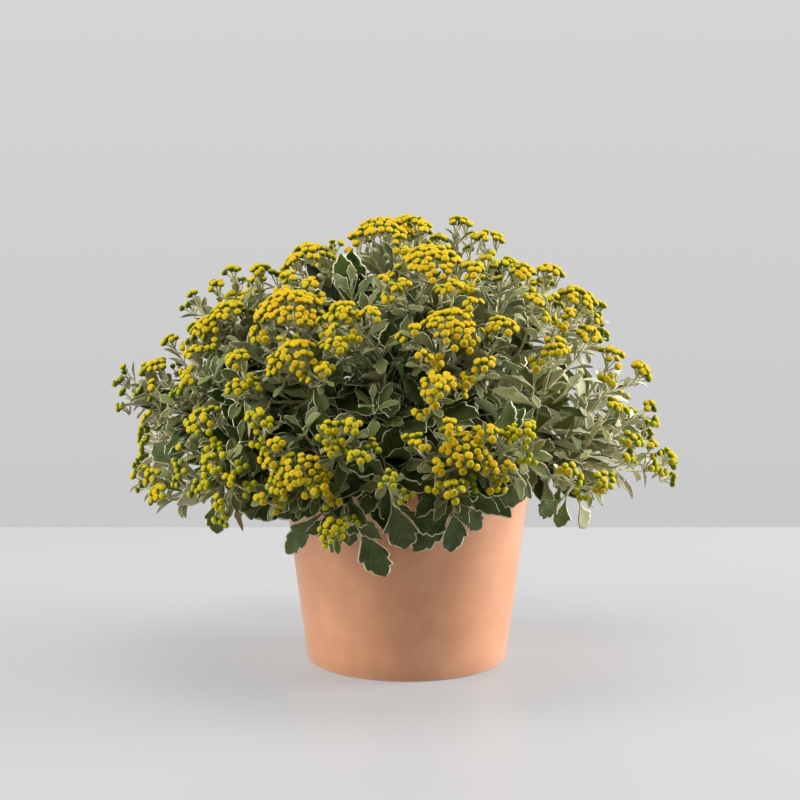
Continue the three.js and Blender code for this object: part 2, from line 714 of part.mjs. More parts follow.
// The rest spiral down every branch from below its spray, shortest at the top
stems.forEach((stem) => {
  stem.branches.forEach((path, b) => {
    const line = new THREE.CurvePath();
    for (let i = 0; i + 1 < path.length; i++) line.add(new THREE.LineCurve3(path[i], path[i + 1]));
    const length = line.getLength();
    let kept = 0;
    for (let k = 0; k < LEAF_TRIES && kept < LEAVES_PER_BRANCH; k++) {
      const down = LEAF_FIRST + k * LEAF_PITCH;
      if (down > LEAF_LAST_SHARE * length) break;
      const u = 1 - down / length;
      const foot = line.getPoint(u);
      const along = line.getTangent(u);
      const [e1, e2] = crossPair(along);
      const grownTo = Math.min(1, (k + 0.5) / LEAF_GROWTH);
      const size = LEAF_SHORTEST + (LEAF_LONGEST - LEAF_SHORTEST) * grownTo;
      const seed = 1000 * stem.number + 100 * b + k;
      for (const nudge of LEAF_TURNS) {
        const turn = GOLDEN_ANGLE * k + 0.4 * Math.PI * draw(seed) + BRANCH_TURN * b + nudge;
        const out = e1.clone().multiplyScalar(Math.cos(turn)).addScaledVector(e2, Math.sin(turn));
        const tilt = THREE.MathUtils.degToRad(LEAF_TILT + LEAF_TILT_SPREAD * draw(seed + 0.5));
        const way = along.clone().multiplyScalar(Math.cos(tilt)).addScaledVector(out, Math.sin(tilt));
        const leaf = {
          foot,
          way,
          face: along.clone().addScaledVector(UP, LEAF_FACE_UP),
          length: size * (1 + LEAF_LENGTH_RANGE * (draw(seed + 0.7) - 0.5)),
          width: size * LEAF_ASPECT,
          droop: LEAF_DROOP + LEAF_DROOP_SPREAD * draw(seed + 0.9),
          lobed: false,
        };
        if (grow(stem, leaf)) {
          kept += 1;
          break;
        }
      }
    }
  });
});

const plant = new THREE.Group();
plant.name = 'potted_gold_and_silver_chrysanthemum';

function addPart(name, body, colour, roughness) {
  const material = new THREE.MeshStandardMaterial({ color: colour, roughness, metalness: 0 });
  const mesh = new THREE.Mesh(surface(body), material);
  mesh.name = name;
  plant.add(mesh);
}

const numbered = (stem, n) => `${stem}_${String(n).padStart(2, '0')}`;

addPart('pot', potBody, '#cf9068', 0.7);
addPart('soil', soilBody, '#3a2b20', 0.95);
for (const stem of stems) {
  const body = joined([stem.wood, ...stem.leaves]);
  addPart(numbered('leafy_stem', stem.number), body, '#5d6c48', 0.75);
}
sprayBodies.forEach((body, index) => {
  addPart(numbered('flower_spray', index + 1), body, '#e3b50f', 0.7);
});

export default plant;
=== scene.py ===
import json
import math

import bmesh
import bpy
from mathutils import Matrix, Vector

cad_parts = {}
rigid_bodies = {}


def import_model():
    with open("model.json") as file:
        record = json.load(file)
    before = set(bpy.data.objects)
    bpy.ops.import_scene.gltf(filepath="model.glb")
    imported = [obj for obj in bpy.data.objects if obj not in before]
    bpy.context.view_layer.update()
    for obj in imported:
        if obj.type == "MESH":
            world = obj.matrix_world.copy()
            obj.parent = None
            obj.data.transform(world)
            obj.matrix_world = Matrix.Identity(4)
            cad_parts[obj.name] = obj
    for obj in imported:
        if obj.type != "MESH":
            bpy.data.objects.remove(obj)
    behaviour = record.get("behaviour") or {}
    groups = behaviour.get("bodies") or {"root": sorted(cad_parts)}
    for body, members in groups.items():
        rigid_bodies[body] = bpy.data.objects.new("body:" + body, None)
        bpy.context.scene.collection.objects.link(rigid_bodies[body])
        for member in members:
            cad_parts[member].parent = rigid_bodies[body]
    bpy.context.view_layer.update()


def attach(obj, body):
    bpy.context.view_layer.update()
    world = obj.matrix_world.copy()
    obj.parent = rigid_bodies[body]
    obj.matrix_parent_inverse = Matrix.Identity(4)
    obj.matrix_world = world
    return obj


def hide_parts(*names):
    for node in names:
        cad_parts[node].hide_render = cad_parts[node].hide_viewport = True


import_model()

scene = bpy.context.scene
scene.view_settings.view_transform = "Standard"
MM = 0.001

# Camera
# A long lens looks slightly down on the plant, from the place where the photograph was taken.
# The pot's foot is at the origin and the front is towards -Y.
EYE = Vector((-4, -1500, 391))
EYE_DIP = math.radians(8.94)
SENSOR_WIDTH = 36
FOCAL_LENGTH = 116.2

camera_data = bpy.data.cameras.new("camera")
camera_data.sensor_width = SENSOR_WIDTH
camera_data.lens = FOCAL_LENGTH
camera = bpy.data.objects.new("camera", camera_data)
camera.location = EYE * MM
camera.rotation_euler = (math.pi / 2 - EYE_DIP, 0, 0)
scene.collection.objects.link(camera)
scene.camera = camera


# Pot
# A rimless tapered pot of peach-coloured terracotta, thrown or pressed and left unglazed.
# Its wall is fine-grained and even, with an eased rim and a small chamfer round the foot.
POT_TOP_RADIUS = 75
POT_FOOT_RADIUS = 59
POT_HEIGHT = 125
POT_WALL = 5
POT_FLOOR = 6
POT_FOOT_CHAMFER = 1.4
POT_RIM_EASE = 1.5
POT_SEGMENTS = 144
POT_COURSES = 12
TERRACOTTA = "#dd9667"
TERRACOTTA_DARK = "#d48f60"
TERRACOTTA_BLOOM = "#e4a274"


def linear(code, alpha=1.0):
    """An sRGB hex colour as linear red, green, blue and alpha."""
    parts = [int(code[i : i + 2], 16) / 255 for i in (1, 3, 5)]
    return tuple(c / 12.92 if c <= 0.04045 else ((c + 0.055) / 1.055) ** 2.4 for c in parts) + (alpha,)


def add_node(tree, kind, inputs=(), stops=None, **settings):
    """One node with its settings; a value goes onto an input, and an output is linked to it."""
    node = tree.nodes.new(kind)
    for name, value in settings.items():
        setattr(node, name, value)
    for name, value in dict(inputs).items():
        if isinstance(value, bpy.types.NodeSocket):
            tree.links.new(value, node.inputs[name])
        else:
            node.inputs[name].default_value = value
    for i, (place, colour) in enumerate(stops or ()):
        stop = node.color_ramp.elements[i] if i < 2 else node.color_ramp.elements.new(place)
        stop.position, stop.color = place, linear(colour)
    return node


def new_material(name, **values):
    """An empty material with one surface shader, whose even values are set on its own sockets."""
    material = bpy.data.materials.new(name)
    material.use_nodes = True
    shader = material.node_tree.nodes["Principled BSDF"]
    for socket, value in values.items():
        shader.inputs[socket.replace("_", " ")].default_value = value
    return material, material.node_tree, shader


def new_piece(name, points, faces, material=None, smooth=True):
    """A mesh object made from points in millimetres, with its place in its mesh."""
    mesh = bpy.data.meshes.new(name)
    mesh.from_pydata([Vector(p) * MM for p in points], [], faces)
    mesh.shade_smooth() if smooth else mesh.shade_flat()
    if material:
        mesh.materials.append(material)
    piece = bpy.data.objects.new(name, mesh)
    scene.collection.objects.link(piece)
    return piece


def turned(profile, segments):
    """Points and faces of a profile turned round the Z axis; a radius of 0 closes it at a pole."""
    points, rings, faces = [], [], []
    for radius, z in profile:
        if radius == 0:
            rings.append([len(points)] * segments)
            points.append((0, 0, z))
            continue
        rings.append(list(range(len(points), len(points) + segments)))
        for k in range(segments):
            turn = 2 * math.pi * k / segments
            points.append((radius * math.cos(turn), radius * math.sin(turn), z))
    for low, high in zip(rings, rings[1:]):
        for k in range(segments):
            n = (k + 1) % segments
            corners = [low[k], low[n], high[n], high[k]]
            face = [c for i, c in enumerate(corners) if c != corners[i - 1]]
            if len(face) > 2:
                faces.append(face)
    return points, faces


def eased(centre, radius, start, end, steps=5):
    """Points of a rounded corner in a profile, from one angle to another."""
    spots = []
    for i in range(steps + 1):
        turn = math.radians(start + (end - start) * i / steps)
        spots.append((centre[0] + radius * math.cos(turn), centre[1] + radius * math.sin(turn)))
    return spots


def wall_radius(z, inset=0.0):
    """Radius of the pot's outside at a height, less an inset."""
    return POT_FOOT_RADIUS + (POT_TOP_RADIUS - POT_FOOT_RADIUS) * z / POT_HEIGHT - inset


# Unglazed terracotta, pressed and fired: a fine matt grain with soft paler and darker clouds
terracotta, tree, shader = new_material(
    "unglazed_terracotta",
    Roughness=0.45,
    IOR=1.5,
    Specular_IOR_Level=1.0,
    Sheen_Weight=0.42,
    Sheen_Roughness=0.4,
)
place = add_node(tree, "ShaderNodeTexCoord").outputs["Object"]
clouds = add_node(tree, "ShaderNodeTexNoise", {"Vector": place, "Scale": 45.0, "Detail": 5.0})
tone = add_node(
    tree,
    "ShaderNodeValToRGB",
    {"Fac": clouds.outputs["Fac"]},
    stops=[(0.3, TERRACOTTA_DARK), (0.7, TERRACOTTA_BLOOM), (0.5, TERRACOTTA)],
)
grain = add_node(tree, "ShaderNodeTexNoise", {"Vector": place, "Scale": 900.0, "Detail": 2.0})
speck = add_node(
    tree,
    "ShaderNodeMix",
    {0: 0.12, 6: tone.outputs["Color"], 7: grain.outputs["Color"]},
    data_type="RGBA",
    blend_type="SOFT_LIGHT",
)
relief = add_node(
    tree, "ShaderNodeBump", {"Strength": 0.12, "Distance": 0.0004, "Height": grain.outputs["Fac"]}
)
tree.links.new(speck.outputs[2], shader.inputs["Base Color"])
tree.links.new(relief.outputs["Normal"], shader.inputs["Normal"])

rim_low = POT_HEIGHT - 1.6
ease_from = POT_HEIGHT - POT_RIM_EASE
profile = [(0, 0), (POT_FOOT_RADIUS - POT_FOOT_CHAMFER, 0), (wall_radius(POT_FOOT_CHAMFER), POT_FOOT_CHAMFER)]
for i in range(1, POT_COURSES + 1):
    z = POT_FOOT_CHAMFER + (rim_low - POT_FOOT_CHAMFER) * i / POT_COURSES
    profile.append((wall_radius(z), z))
profile += eased((POT_TOP_RADIUS - POT_RIM_EASE - 0.2, ease_from), POT_RIM_EASE, 0, 90)
profile += eased((POT_TOP_RADIUS - POT_WALL + POT_RIM_EASE, ease_from), POT_RIM_EASE, 90, 180)
for i in range(1, 5):
    z = rim_low + (POT_FLOOR - rim_low) * i / 4
    profile.append((wall_radius(z, POT_WALL), z))
profile.append((0, POT_FLOOR))
pot = new_piece("terracotta_pot", *turned(profile, POT_SEGMENTS), terracotta)
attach(pot, "root")
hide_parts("pot")


# Soil
# Dark peat-based potting soil fills the pot to 10 mm below its rim. Its top is uneven,
# with crumbs of peat and bark lying on it.
SOIL_TOP = 115
SOIL_GAP = 0.3
SOIL_RINGS = 26
SOIL_SEGMENTS = 72
CRUMB_SIZE = 2.6
CRUMB_DENSITY = 0.16
FULL_TURN = 6.28
PEAT = "#2e2219"
PEAT_DARK = "#17100b"
BARK = "#5b4634"


def draw(n):
    """A repeatable draw between 0 and 1 for a numbered place on the plant."""
    s = math.sin(n * 12.9898) * 43758.5453
    return s - math.floor(s)


def new_tree(name, sizes):
    """A geometry tree with named inputs; returns it with the outputs of its input node."""
    tree = bpy.data.node_groups.new(name, "GeometryNodeTree")
    tree.interface.new_socket("Geometry", in_out="INPUT", socket_type="NodeSocketGeometry")
    for size, kind in sizes.items():
        tree.interface.new_socket(size, in_out="INPUT", socket_type="NodeSocket" + kind)
    tree.interface.new_socket("Geometry", in_out="OUTPUT", socket_type="NodeSocketGeometry")
    return tree, add_node(tree, "NodeGroupInput").outputs


def end_tree(tree, geometry, finish):
    """Ends a geometry tree: its instances become plain mesh, all of one material."""
    real = add_node(tree, "GeometryNodeRealizeInstances", {"Geometry": geometry})
    made = {"Geometry": real.outputs["Geometry"], "Material": finish}
    done = add_node(tree, "GeometryNodeSetMaterial", made)
    add_node(tree, "NodeGroupOutput", {"Geometry": done.outputs["Geometry"]})


def grow(piece, tree, values):
    """Runs a geometry tree on a piece with these inputs, and keeps the result as a plain mesh."""
    modifier = piece.modifiers.new("grow", "NODES")
    modifier.node_group = tree
    for item in tree.interface.items_tree:
        if item.in_out == "INPUT" and item.name in values:
            modifier[item.identifier] = values[item.name]
    graph = bpy.context.evaluated_depsgraph_get()
    mesh = bpy.data.meshes.new_from_object(piece.evaluated_get(graph))
    piece.modifiers.clear()
    old, piece.data = piece.data, mesh
    mesh.name = piece.name
    bpy.data.meshes.remove(old)
    return piece


# Peat potting soil, sieved and packed: very dark and matt, with lighter flecks of bark
peat, tree, shader = new_material("peat_potting_soil", Roughness=0.95, Specular_IOR_Level=0.15)
place = add_node(tree, "ShaderNodeTexCoord").outputs["Object"]
flecks = add_node(tree, "ShaderNodeTexVoronoi", {"Vector": place, "Scale": 420.0})
tone = add_node(
    tree,
    "ShaderNodeValToRGB",
    {"Fac": flecks.outputs["Color"]},
    stops=[(0.25, PEAT_DARK), (0.9, BARK), (0.6, PEAT)],
)
relief = add_node(
    tree, "ShaderNodeBump", {"Strength": 0.6, "Distance": 0.001, "Height": flecks.outputs["Distance"]}
)
tree.links.new(tone.outputs["Color"], shader.inputs["Base Color"])
tree.links.new(relief.outputs["Normal"], shader.inputs["Normal"])

base = POT_FLOOR + SOIL_GAP
profile = [(0, base), (wall_radius(base, POT_WALL + SOIL_GAP), base)]
reach = wall_radius(SOIL_TOP, POT_WALL + SOIL_GAP)
profile += [(reach * (1 - i / SOIL_RINGS), SOIL_TOP) for i in range(SOIL_RINGS)]
points, faces = turned(profile + [(0, SOIL_TOP)], SOIL_SEGMENTS)
for i, (x, y, z) in enumerate(points):
    if z == SOIL_TOP:
        lump = math.sin(x * 0.23 + 1.1) * math.sin(y * 0.19 + 0.4)
        lump += 0.6 * math.sin(x * 0.61) * math.cos(y * 0.53)
        points[i] = (x, y, z - 0.8 + 0.9 * lump + 0.9 * draw(i))
soil = new_piece("potting_soil", points, faces, peat)

crumb_mesh = bmesh.new()
bmesh.ops.create_icosphere(crumb_mesh, subdivisions=1, radius=0.5 * MM)
for i, vertex in enumerate(crumb_mesh.verts):
    vertex.co = vertex.co * (0.7 + 0.6 * draw(i + 40))
crumb_data = bpy.data.meshes.new("crumb")
crumb_mesh.to_mesh(crumb_data)
crumb_mesh.free()
crumb = bpy.data.objects.new("crumb", crumb_data)

crumbs, given = new_tree(
    "crumbs_on_soil",
    {
        "Crumb": "Object", "Crumb size": "Float", "Crumbs per square mm": "Float", "Seed": "Int",
        "Finish": "Material",
    },
)
upward = add_node(crumbs, "GeometryNodeInputNormal").outputs["Normal"]
height = add_node(crumbs, "ShaderNodeSeparateXYZ", {"Vector": upward}).outputs["Z"]
top_faces = add_node(crumbs, "FunctionNodeCompare", {"A": height, "B": 0.5}, operation="GREATER_THAN")
density = add_node(
    crumbs, "ShaderNodeMath", {0: given["Crumbs per square mm"], 1: 1 / MM**2}, operation="MULTIPLY"
)
scattered = add_node(
    crumbs,
    "GeometryNodeDistributePointsOnFaces",
    {
        "Mesh": given["Geometry"],
        "Selection": top_faces.outputs["Result"],
        "Density": density.outputs["Value"],
        "Seed": given["Seed"],
    },
)
girth = add_node(
    crumbs,
    "FunctionNodeRandomValue",
    {"Min": (0.3, 0.3, 0.25), "Max": (1.2, 1.0, 0.7), "Seed": given["Seed"]},
    data_type="FLOAT_VECTOR",
)
scaled = add_node(
    crumbs,
    "ShaderNodeVectorMath",
    {0: girth.outputs["Value"], "Scale": given["Crumb size"]},
    operation="SCALE",
)
spin = add_node(
    crumbs,
    "FunctionNodeRandomValue",
    {"Min": (-0.5, -0.5, 0.0), "Max": (0.5, 0.5, FULL_TURN), "Seed": given["Seed"]},
    data_type="FLOAT_VECTOR",
)
shape = add_node(crumbs, "GeometryNodeObjectInfo", {"Object": given["Crumb"]})
laid = add_node(
    crumbs,
    "GeometryNodeInstanceOnPoints",
    {
        "Points": scattered.outputs["Points"],
        "Instance": shape.outputs["Geometry"],
        "Rotation": spin.outputs["Value"],
        "Scale": scaled.outputs["Vector"],
    },
)
whole = add_node(crumbs, "GeometryNodeJoinGeometry", {"Geometry": given["Geometry"]})
crumbs.links.new(laid.outputs["Instances"], whole.inputs["Geometry"])
end_tree(crumbs, whole.outputs["Geometry"], given["Finish"])
grow(
    soil,
    crumbs,
    {
        "Crumb": crumb, "Crumb size": CRUMB_SIZE, "Crumbs per square mm": CRUMB_DENSITY, "Seed": 5,
        "Finish": peat,
    },
)
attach(soil, "root")
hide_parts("soil")


# Lay of the plant
# Where every flower bunch sits on the rounded crown, which stem carries it, where each
# stem leaves the soil and divides, and the line of every stalk up to its flowers.
CROWN_CENTRE = Vector((0, 0, 120))
CROWN_REACH = Vector((168, 155, 144))
FULL_CHORD = 110
LEAST_CHORD_SHARE = 0.4
FACE_OUTWARD = (0.5, 0.8, 0.8)
FACE_UPWARD = 0.34
DOME_DROP = 0.6
ROOT_LIMIT = 53
SPLIT_SHARE = 0.5
SPLIT_FLOOR = 150
SPLIT_RIM = 45
GOLDEN_ANGLE = math.radians(137.508)
UP = Vector((0, 0, 1))

# Front sprays: number of the stem, ripeness, then each bunch as across, up and radius
FRONT_SPRAYS = [
    (1, 0.95, [(-15, 254, 20), (3, 257, 10), (-4, 248, 6)]),
    (2, 0.85, [(31, 258, 10), (48, 249, 12)]),
    (1, 0.75, [(-58, 239, 16), (-70, 226, 6), (-43, 244, 7)]),
    (2, 0.95, [(15, 236, 21), (40, 230, 10), (-2, 221, 7), (28, 219, 9), (-14, 223, 6)]),
    (3, 0.85, [(68, 228, 11), (85, 228, 10), (76, 210, 7)]),
    (3, 0.85, [(101, 214, 14), (87, 213, 6), (97, 203, 6)]),
    (4, 0.6, [(-127, 214, 5), (-113, 220, 8), (-104, 228, 8), (-88, 230, 9)]),
    (4, 0.8, [(-107, 206, 13), (-119, 196, 12)]),
    (5, 1.0, [(-70, 208, 21), (-57, 222, 7), (-87, 199, 7)]),
    (6, 0.75, [(-37, 204, 11), (-21, 204, 8), (-43, 194, 6), (-42, 185, 9)]),
    (5, 0.9, [(-66, 180, 14), (-79, 174, 8), (-77, 188, 5), (-50, 170, 8)]),
    (7, 0.65, [(-101, 176, 9), (-102, 160, 8)]),
    (7, 0.65, [(-127, 180, 8), (-130, 163, 8), (-141, 188, 8)]),
    (7, 0.5, [(-151, 171, 12), (-168, 171, 4), (-168, 158, 6), (-150, 160, 7)]),
    (8, 0.45, [(-124, 139, 12), (-87, 141, 10), (-134, 124, 6)]),
    (8, 0.6, [(-151, 107, 9), (-147, 96, 9), (-162, 107, 4)]),
    (8, 0.3, [(-117, 112, 10), (-108, 120, 6), (-120, 101, 6), (-105, 105, 6), (-111, 92, 7),
              (-134, 108, 7)]),
    (9, 0.8, [(-62, 109, 16), (-75, 98, 7), (-80, 113, 7), (-52, 99, 8), (-86, 94, 6), (-77, 127, 7)]),
    (10, 0.5, [(-48, 133, 9), (-32, 136, 8), (-46, 121, 5), (-29, 119, 8)]),
    (10, 0.3, [(-11, 105, 8)]),
    (9, 0.35, [(-44, 74, 10)]),
    (6, 1.0, [(27, 197, 18), (39, 208, 8), (5, 194, 6), (56, 196, 10), (47, 174, 8), (9, 179, 7)]),
    (6, 0.85, [(18, 161, 13)]),
    (11, 0.8, [(36, 121, 15), (26, 135, 8), (48, 133, 9), (50, 112, 7), (61, 113, 6), (9, 124, 7),
               (18, 112, 7)]),
    (11, 0.45, [(28, 98, 9)]),
    (11, 0.45, [(70, 133, 10)]),
    (12, 0.8, [(89, 183, 10), (108, 191, 10)]),
    (12, 0.85, [(123, 179, 10), (140, 171, 9)]),
    (12, 0.55, [(122, 147, 8), (144, 149, 7)]),
    (13, 0.5, [(134, 128, 9), (131, 117, 6), (147, 124, 7), (157, 117, 6)]),
    (13, 0.5, [(94, 111, 8)]),
    (13, 0.45, [(117, 103, 10)]),
]

# Rear sprays: number of the stem, bearing from +Y towards +X and height angle, in degrees,
# and share of the crown's reach
REAR_SPRAYS = [
    (14, -70, 5, 0.97), (14, -52, 36, 0.97), (14, -62, 62, 0.88), (15, -27, 3, 0.97), (15, 17, 5, 0.97),
    (15, 2, 38, 0.97), (15, 0, 72, 0.97), (16, 60, 3, 0.97), (16, 53, 36, 0.97), (16, 60, 62, 0.85),
]
REAR_MAIN_RADIUS = 17
REAR_SIDE_RADIUS = 9.4
REAR_SIDE_BUNCHES = 3
REAR_SPREAD = 28


def by_reach(vector, reach):
    """A vector measured in the crown's own half-widths."""
    return Vector(a / b for a, b in zip(vector, reach))


def on_crown(across, up, depth=0.0):
    """Point on the crown seen from the eye at a front reading, moved inside by a depth."""
    plane = Vector((across, up * math.sin(EYE_DIP), up * math.cos(EYE_DIP)))
    reach = CROWN_REACH - Vector((depth, depth, depth))
    start = by_reach(EYE - CROWN_CENTRE, reach)
    ray = plane - EYE
    run = by_reach(ray, reach)
    a, b, c = run.dot(run), start.dot(run), start.dot(start) - 1
    half = math.sqrt(max(0.0, b * b - a * c)) / a
    share = min(1.0, max(LEAST_CHORD_SHARE, half * ray.length / FULL_CHORD))
    return EYE + ray * (-b / a - share * half)


def behind(bearing, height, share):
    """Point at the back of the crown, at a share of its reach."""
    turn, lift = math.radians(bearing), math.radians(height)
    way = (math.sin(turn) * math.cos(lift), math.cos(turn) * math.cos(lift), math.sin(lift))
    return CROWN_CENTRE + Vector(a * b * share for a, b in zip(way, CROWN_REACH))


def facing(point):
    """Way that a bunch or leaf at this point of the crown faces."""
    outward = by_reach(by_reach(point - CROWN_CENTRE, CROWN_REACH), CROWN_REACH).normalized()
    return (Vector(a * b for a, b in zip(outward, FACE_OUTWARD)) + UP * FACE_UPWARD).normalized()


def cross_pair(axis):
    """Two directions square to an axis."""
    side = Vector((1, 0, 0)) if abs(axis.z) > 0.9 else UP
    e1 = side.cross(axis).normalized()
    return e1, axis.cross(e1).normalized()


sprays = []
for stem, ripeness, bunches in FRONT_SPRAYS:
    spots = []
    for across, up, radius in bunches:
        centre = on_crown(across, up, radius * 0.2)
        spots.append({"centre": centre, "axis": facing(centre), "radius": radius})
    sprays.append({"stem": stem, "ripe": ripeness, "spots": spots})
for index, (stem, bearing, height, share) in enumerate(REAR_SPRAYS):
    centre = behind(bearing, height, share)
    axis = facing(centre)
    e1, e2 = cross_pair(axis)
    spots = [{"centre": centre, "axis": axis, "radius": REAR_MAIN_RADIUS}]
    for k in range(REAR_SIDE_BUNCHES):
        around = 2 * math.pi * (k + 0.5 * draw(index + 3)) / REAR_SIDE_BUNCHES + index
        out = REAR_SPREAD * (0.95 + 0.15 * draw(10 * index + k))
        p = centre + e1 * out * math.cos(around) + e2 * out * math.sin(around) - axis * 7
        spots.append({"centre": p, "axis": facing(p), "radius": REAR_SIDE_RADIUS})
    sprays.append({"stem": stem, "ripe": 0.55 + 0.45 * draw(index + 60), "spots": spots})
for spray in sprays:
    weight = sum(s["radius"] for s in spray["spots"])
    spray["middle"] = sum((s["centre"] * s["radius"] for s in spray["spots"]), Vector()) / weight
    spray["axis"] = sum((s["axis"] * s["radius"] for s in spray["spots"]), Vector()).normalized()

stems = []
for number in range(1, max(s["stem"] for s in sprays) + 1):
    own = [s for s in sprays if s["stem"] == number]
    mean = sum((s["middle"] for s in own), Vector()) / len(own)
    share = 0.24 + 0.14 * (1 - (mean.z - 80) / 180)
    root = Vector((mean.x * share, mean.y * share, 0))
    if root.length > ROOT_LIMIT:
        root *= ROOT_LIMIT / root.length
    root.z = SOIL_TOP
    split = root.lerp(mean, SPLIT_SHARE)
    rim = math.hypot(split.x, split.y)
    if rim > SPLIT_RIM:
        split.z = max(split.z, SPLIT_FLOOR - 0.1 * (rim - SPLIT_RIM))
    stems.append({"number": number, "root": root, "split": split, "own": own})
    for spray in own:
        main = spray["spots"][0]
        spread = max((s["centre"] - main["centre"]).length for s in spray["spots"])
        back = 0.55 * main["radius"] + 14 + 0.4 * spread
        lead = (spray["axis"] + (spray["middle"] - split).normalized() * 0.6).normalized()
        spray["foot"] = main["centre"].lerp(spray["middle"], 0.5) - lead * (back + 8)
        for spot in spray["spots"]:
            spot["neck"] = spot["centre"] - spot["axis"] * (0.55 * spot["radius"] + 3)
        spray["lead"] = (main["neck"] - spray["foot"]).normalized()


def bezier(p0, p1, p2, p3, count):
    """Points along a cubic curve, both ends included."""
    line = []
    for i in range(count + 1):
        t = i / count
        s = 1 - t
        line.append(p0 * s**3 + p1 * 3 * s * s * t + p2 * 3 * s * t * t + p3 * t**3)
    return line


# Flower heads
# Buttons about 5 mm wide, set close together on the ends of the finest stalks: a cup of green
# bracts holding a tight disc of tiny golden florets, with a dimple in the middle.
HEAD_WIDTH = 5.0
HEAD_PITCH = 3.95
RIPE_PITCH = 3.65
HEAD_SIDES = 9
HEAD_SPREAD = 0.2
LEAST_SPACING = 3.1
HEAD_LEAN = 0.85
HUB_STEP = 12.0 * 0.525
EDGE_CLUMP_EVERY = 7
HEADS_MISSING = 0.04
HEAD_JITTER = 1.1
CLUMP_PULL = 0.16
BRACT = "#66771f"
BRACT_EDGE = "#7f9014"
FLORET_GREEN = "#97a60e"
FLORET_LIME = "#c3c104"
FLORET_YELLOW = "#dcc200"
FLORET_GOLD = "#e3b700"
FLORET_CORE = "#e39f00"

# Living florets of a daisy without rays: matt and velvety, greenish while young, golden when ripe
florets, tree, shader = new_material("golden_florets", Roughness=0.6, Specular_IOR_Level=0.2)
ring = add_node(tree, "ShaderNodeAttribute", attribute_name="ring").outputs["Fac"]
ripe = add_node(tree, "ShaderNodeAttribute", attribute_name="ripe").outputs["Fac"]
place = add_node(tree, "ShaderNodeTexCoord").outputs["Object"]
young = add_node(
    tree,
    "ShaderNodeValToRGB",
    {"Fac": ring},
    stops=[(0.3, BRACT), (1.0, FLORET_GREEN), (0.52, BRACT_EDGE), (0.68, FLORET_LIME), (0.85, FLORET_LIME)],
)
grown_up = add_node(
    tree,
    "ShaderNodeValToRGB",
    {"Fac": ring},
    stops=[(0.26, BRACT), (1.0, FLORET_CORE), (0.46, BRACT_EDGE), (0.6, FLORET_YELLOW), (0.84, FLORET_GOLD)],
)
ripened = add_node(
    tree,
    "ShaderNodeMix",
    {0: ripe, 6: young.outputs["Color"], 7: grown_up.outputs["Color"]},
    data_type="RGBA",
)
# Single florets are half a millimetre wide; the gaps between them are darkened, a painted shade
buds = add_node(tree, "ShaderNodeTexVoronoi", {"Vector": place, "Scale": 1700.0})
shade = add_node(
    tree,
    "ShaderNodeValToRGB",
    {"Fac": buds.outputs["Distance"]},
    stops=[(0.2, "#ffffff"), (0.8, "#d9cc7c")],
)
floret_gaps_shaded = add_node(
    tree,
    "ShaderNodeMix",
    {0: 0.4, 6: ripened.outputs[2], 7: shade.outputs["Color"]},
    data_type="RGBA",
    blend_type="MULTIPLY",
)
relief = add_node(
    tree,
    "ShaderNodeBump",
    {"Strength": 0.5, "Distance": 0.0003, "Height": buds.outputs["Distance"]},
    invert=True,
)
tree.links.new(floret_gaps_shaded.outputs[2], shader.inputs["Base Color"])
tree.links.new(relief.outputs["Normal"], shader.inputs["Normal"])

# Section of a head from its stalk to its middle, for a width of 1: radius, height and ring
BUD_SECTION = [
    (0, -0.42, 0), (0.22, -0.36, 0.1), (0.4, -0.14, 0.3), (0.43, 0.08, 0.5), (0.28, 0.32, 0.8), (0, 0.4, 1),
]
HALF_SECTION = [
    (0, -0.42, 0), (0.24, -0.35, 0.1), (0.45, -0.12, 0.3), (0.48, 0.08, 0.5),
    (0.37, 0.29, 0.72), (0, 0.33, 1),
]
OPEN_SECTION = [
    (0, -0.4, 0), (0.24, -0.34, 0.1), (0.46, -0.11, 0.3), (0.5, 0.07, 0.5),
    (0.43, 0.25, 0.66), (0.23, 0.33, 0.84), (0, 0.21, 1),
]
head_kinds = bpy.data.collections.new("head_kinds")
for kind, section in enumerate([BUD_SECTION, HALF_SECTION, OPEN_SECTION]):
    points, faces = turned([(r, z) for r, z, _ in section], HEAD_SIDES)
    mesh = bpy.data.meshes.new(f"head_{kind}")
    mesh.from_pydata(points, [], faces)
    mesh.shade_smooth()
    levels = {z: level for _, z, level in section}
    rings = [levels[p[2]] for p in points]
    mesh.attributes.new("ring", "FLOAT", "POINT").data.foreach_set("value", rings)
    head_kinds.objects.link(bpy.data.objects.new(f"head_{kind}", mesh))


def spun(tree, given, rotation, axis, least, most):
    """The rotation, turned about an axis of its own by a random angle between two limits."""
    limits = {2: least, 3: most, "Seed": given["Seed"]}
    turn = add_node(tree, "FunctionNodeRandomValue", limits, data_type="FLOAT")
    spin = add_node(tree, "FunctionNodeAxisAngleToRotation", {"Axis": axis, "Angle": turn.outputs[1]})
    pair = {"Rotation": rotation, "Rotate By": spin.outputs["Rotation"]}
    node = add_node(tree, "FunctionNodeRotateRotation", pair, rotation_space="LOCAL")
    return node.outputs["Rotation"]


def set_on_points(tree, given, collection, rotation, scale):
    """One shape of a collection on each point, picked by the point's kind."""
    kind = add_node(tree, "GeometryNodeInputNamedAttribute", {"Name": "kind"}, data_type="INT")
    apart = {"Collection": given[collection], "Separate Children": True, "Reset Children": True}
    kinds = add_node(tree, "GeometryNodeCollectionInfo", apart)
    node = add_node(
        tree,
        "GeometryNodeInstanceOnPoints",
        {
            "Points": given["Geometry"],
            "Instance": kinds.outputs["Instances"],
            "Pick Instance": True,
            "Instance Index": kind.outputs["Attribute"],
            "Rotation": rotation,
            "Scale": scale,
        },
    )
    return node.outputs["Instances"]


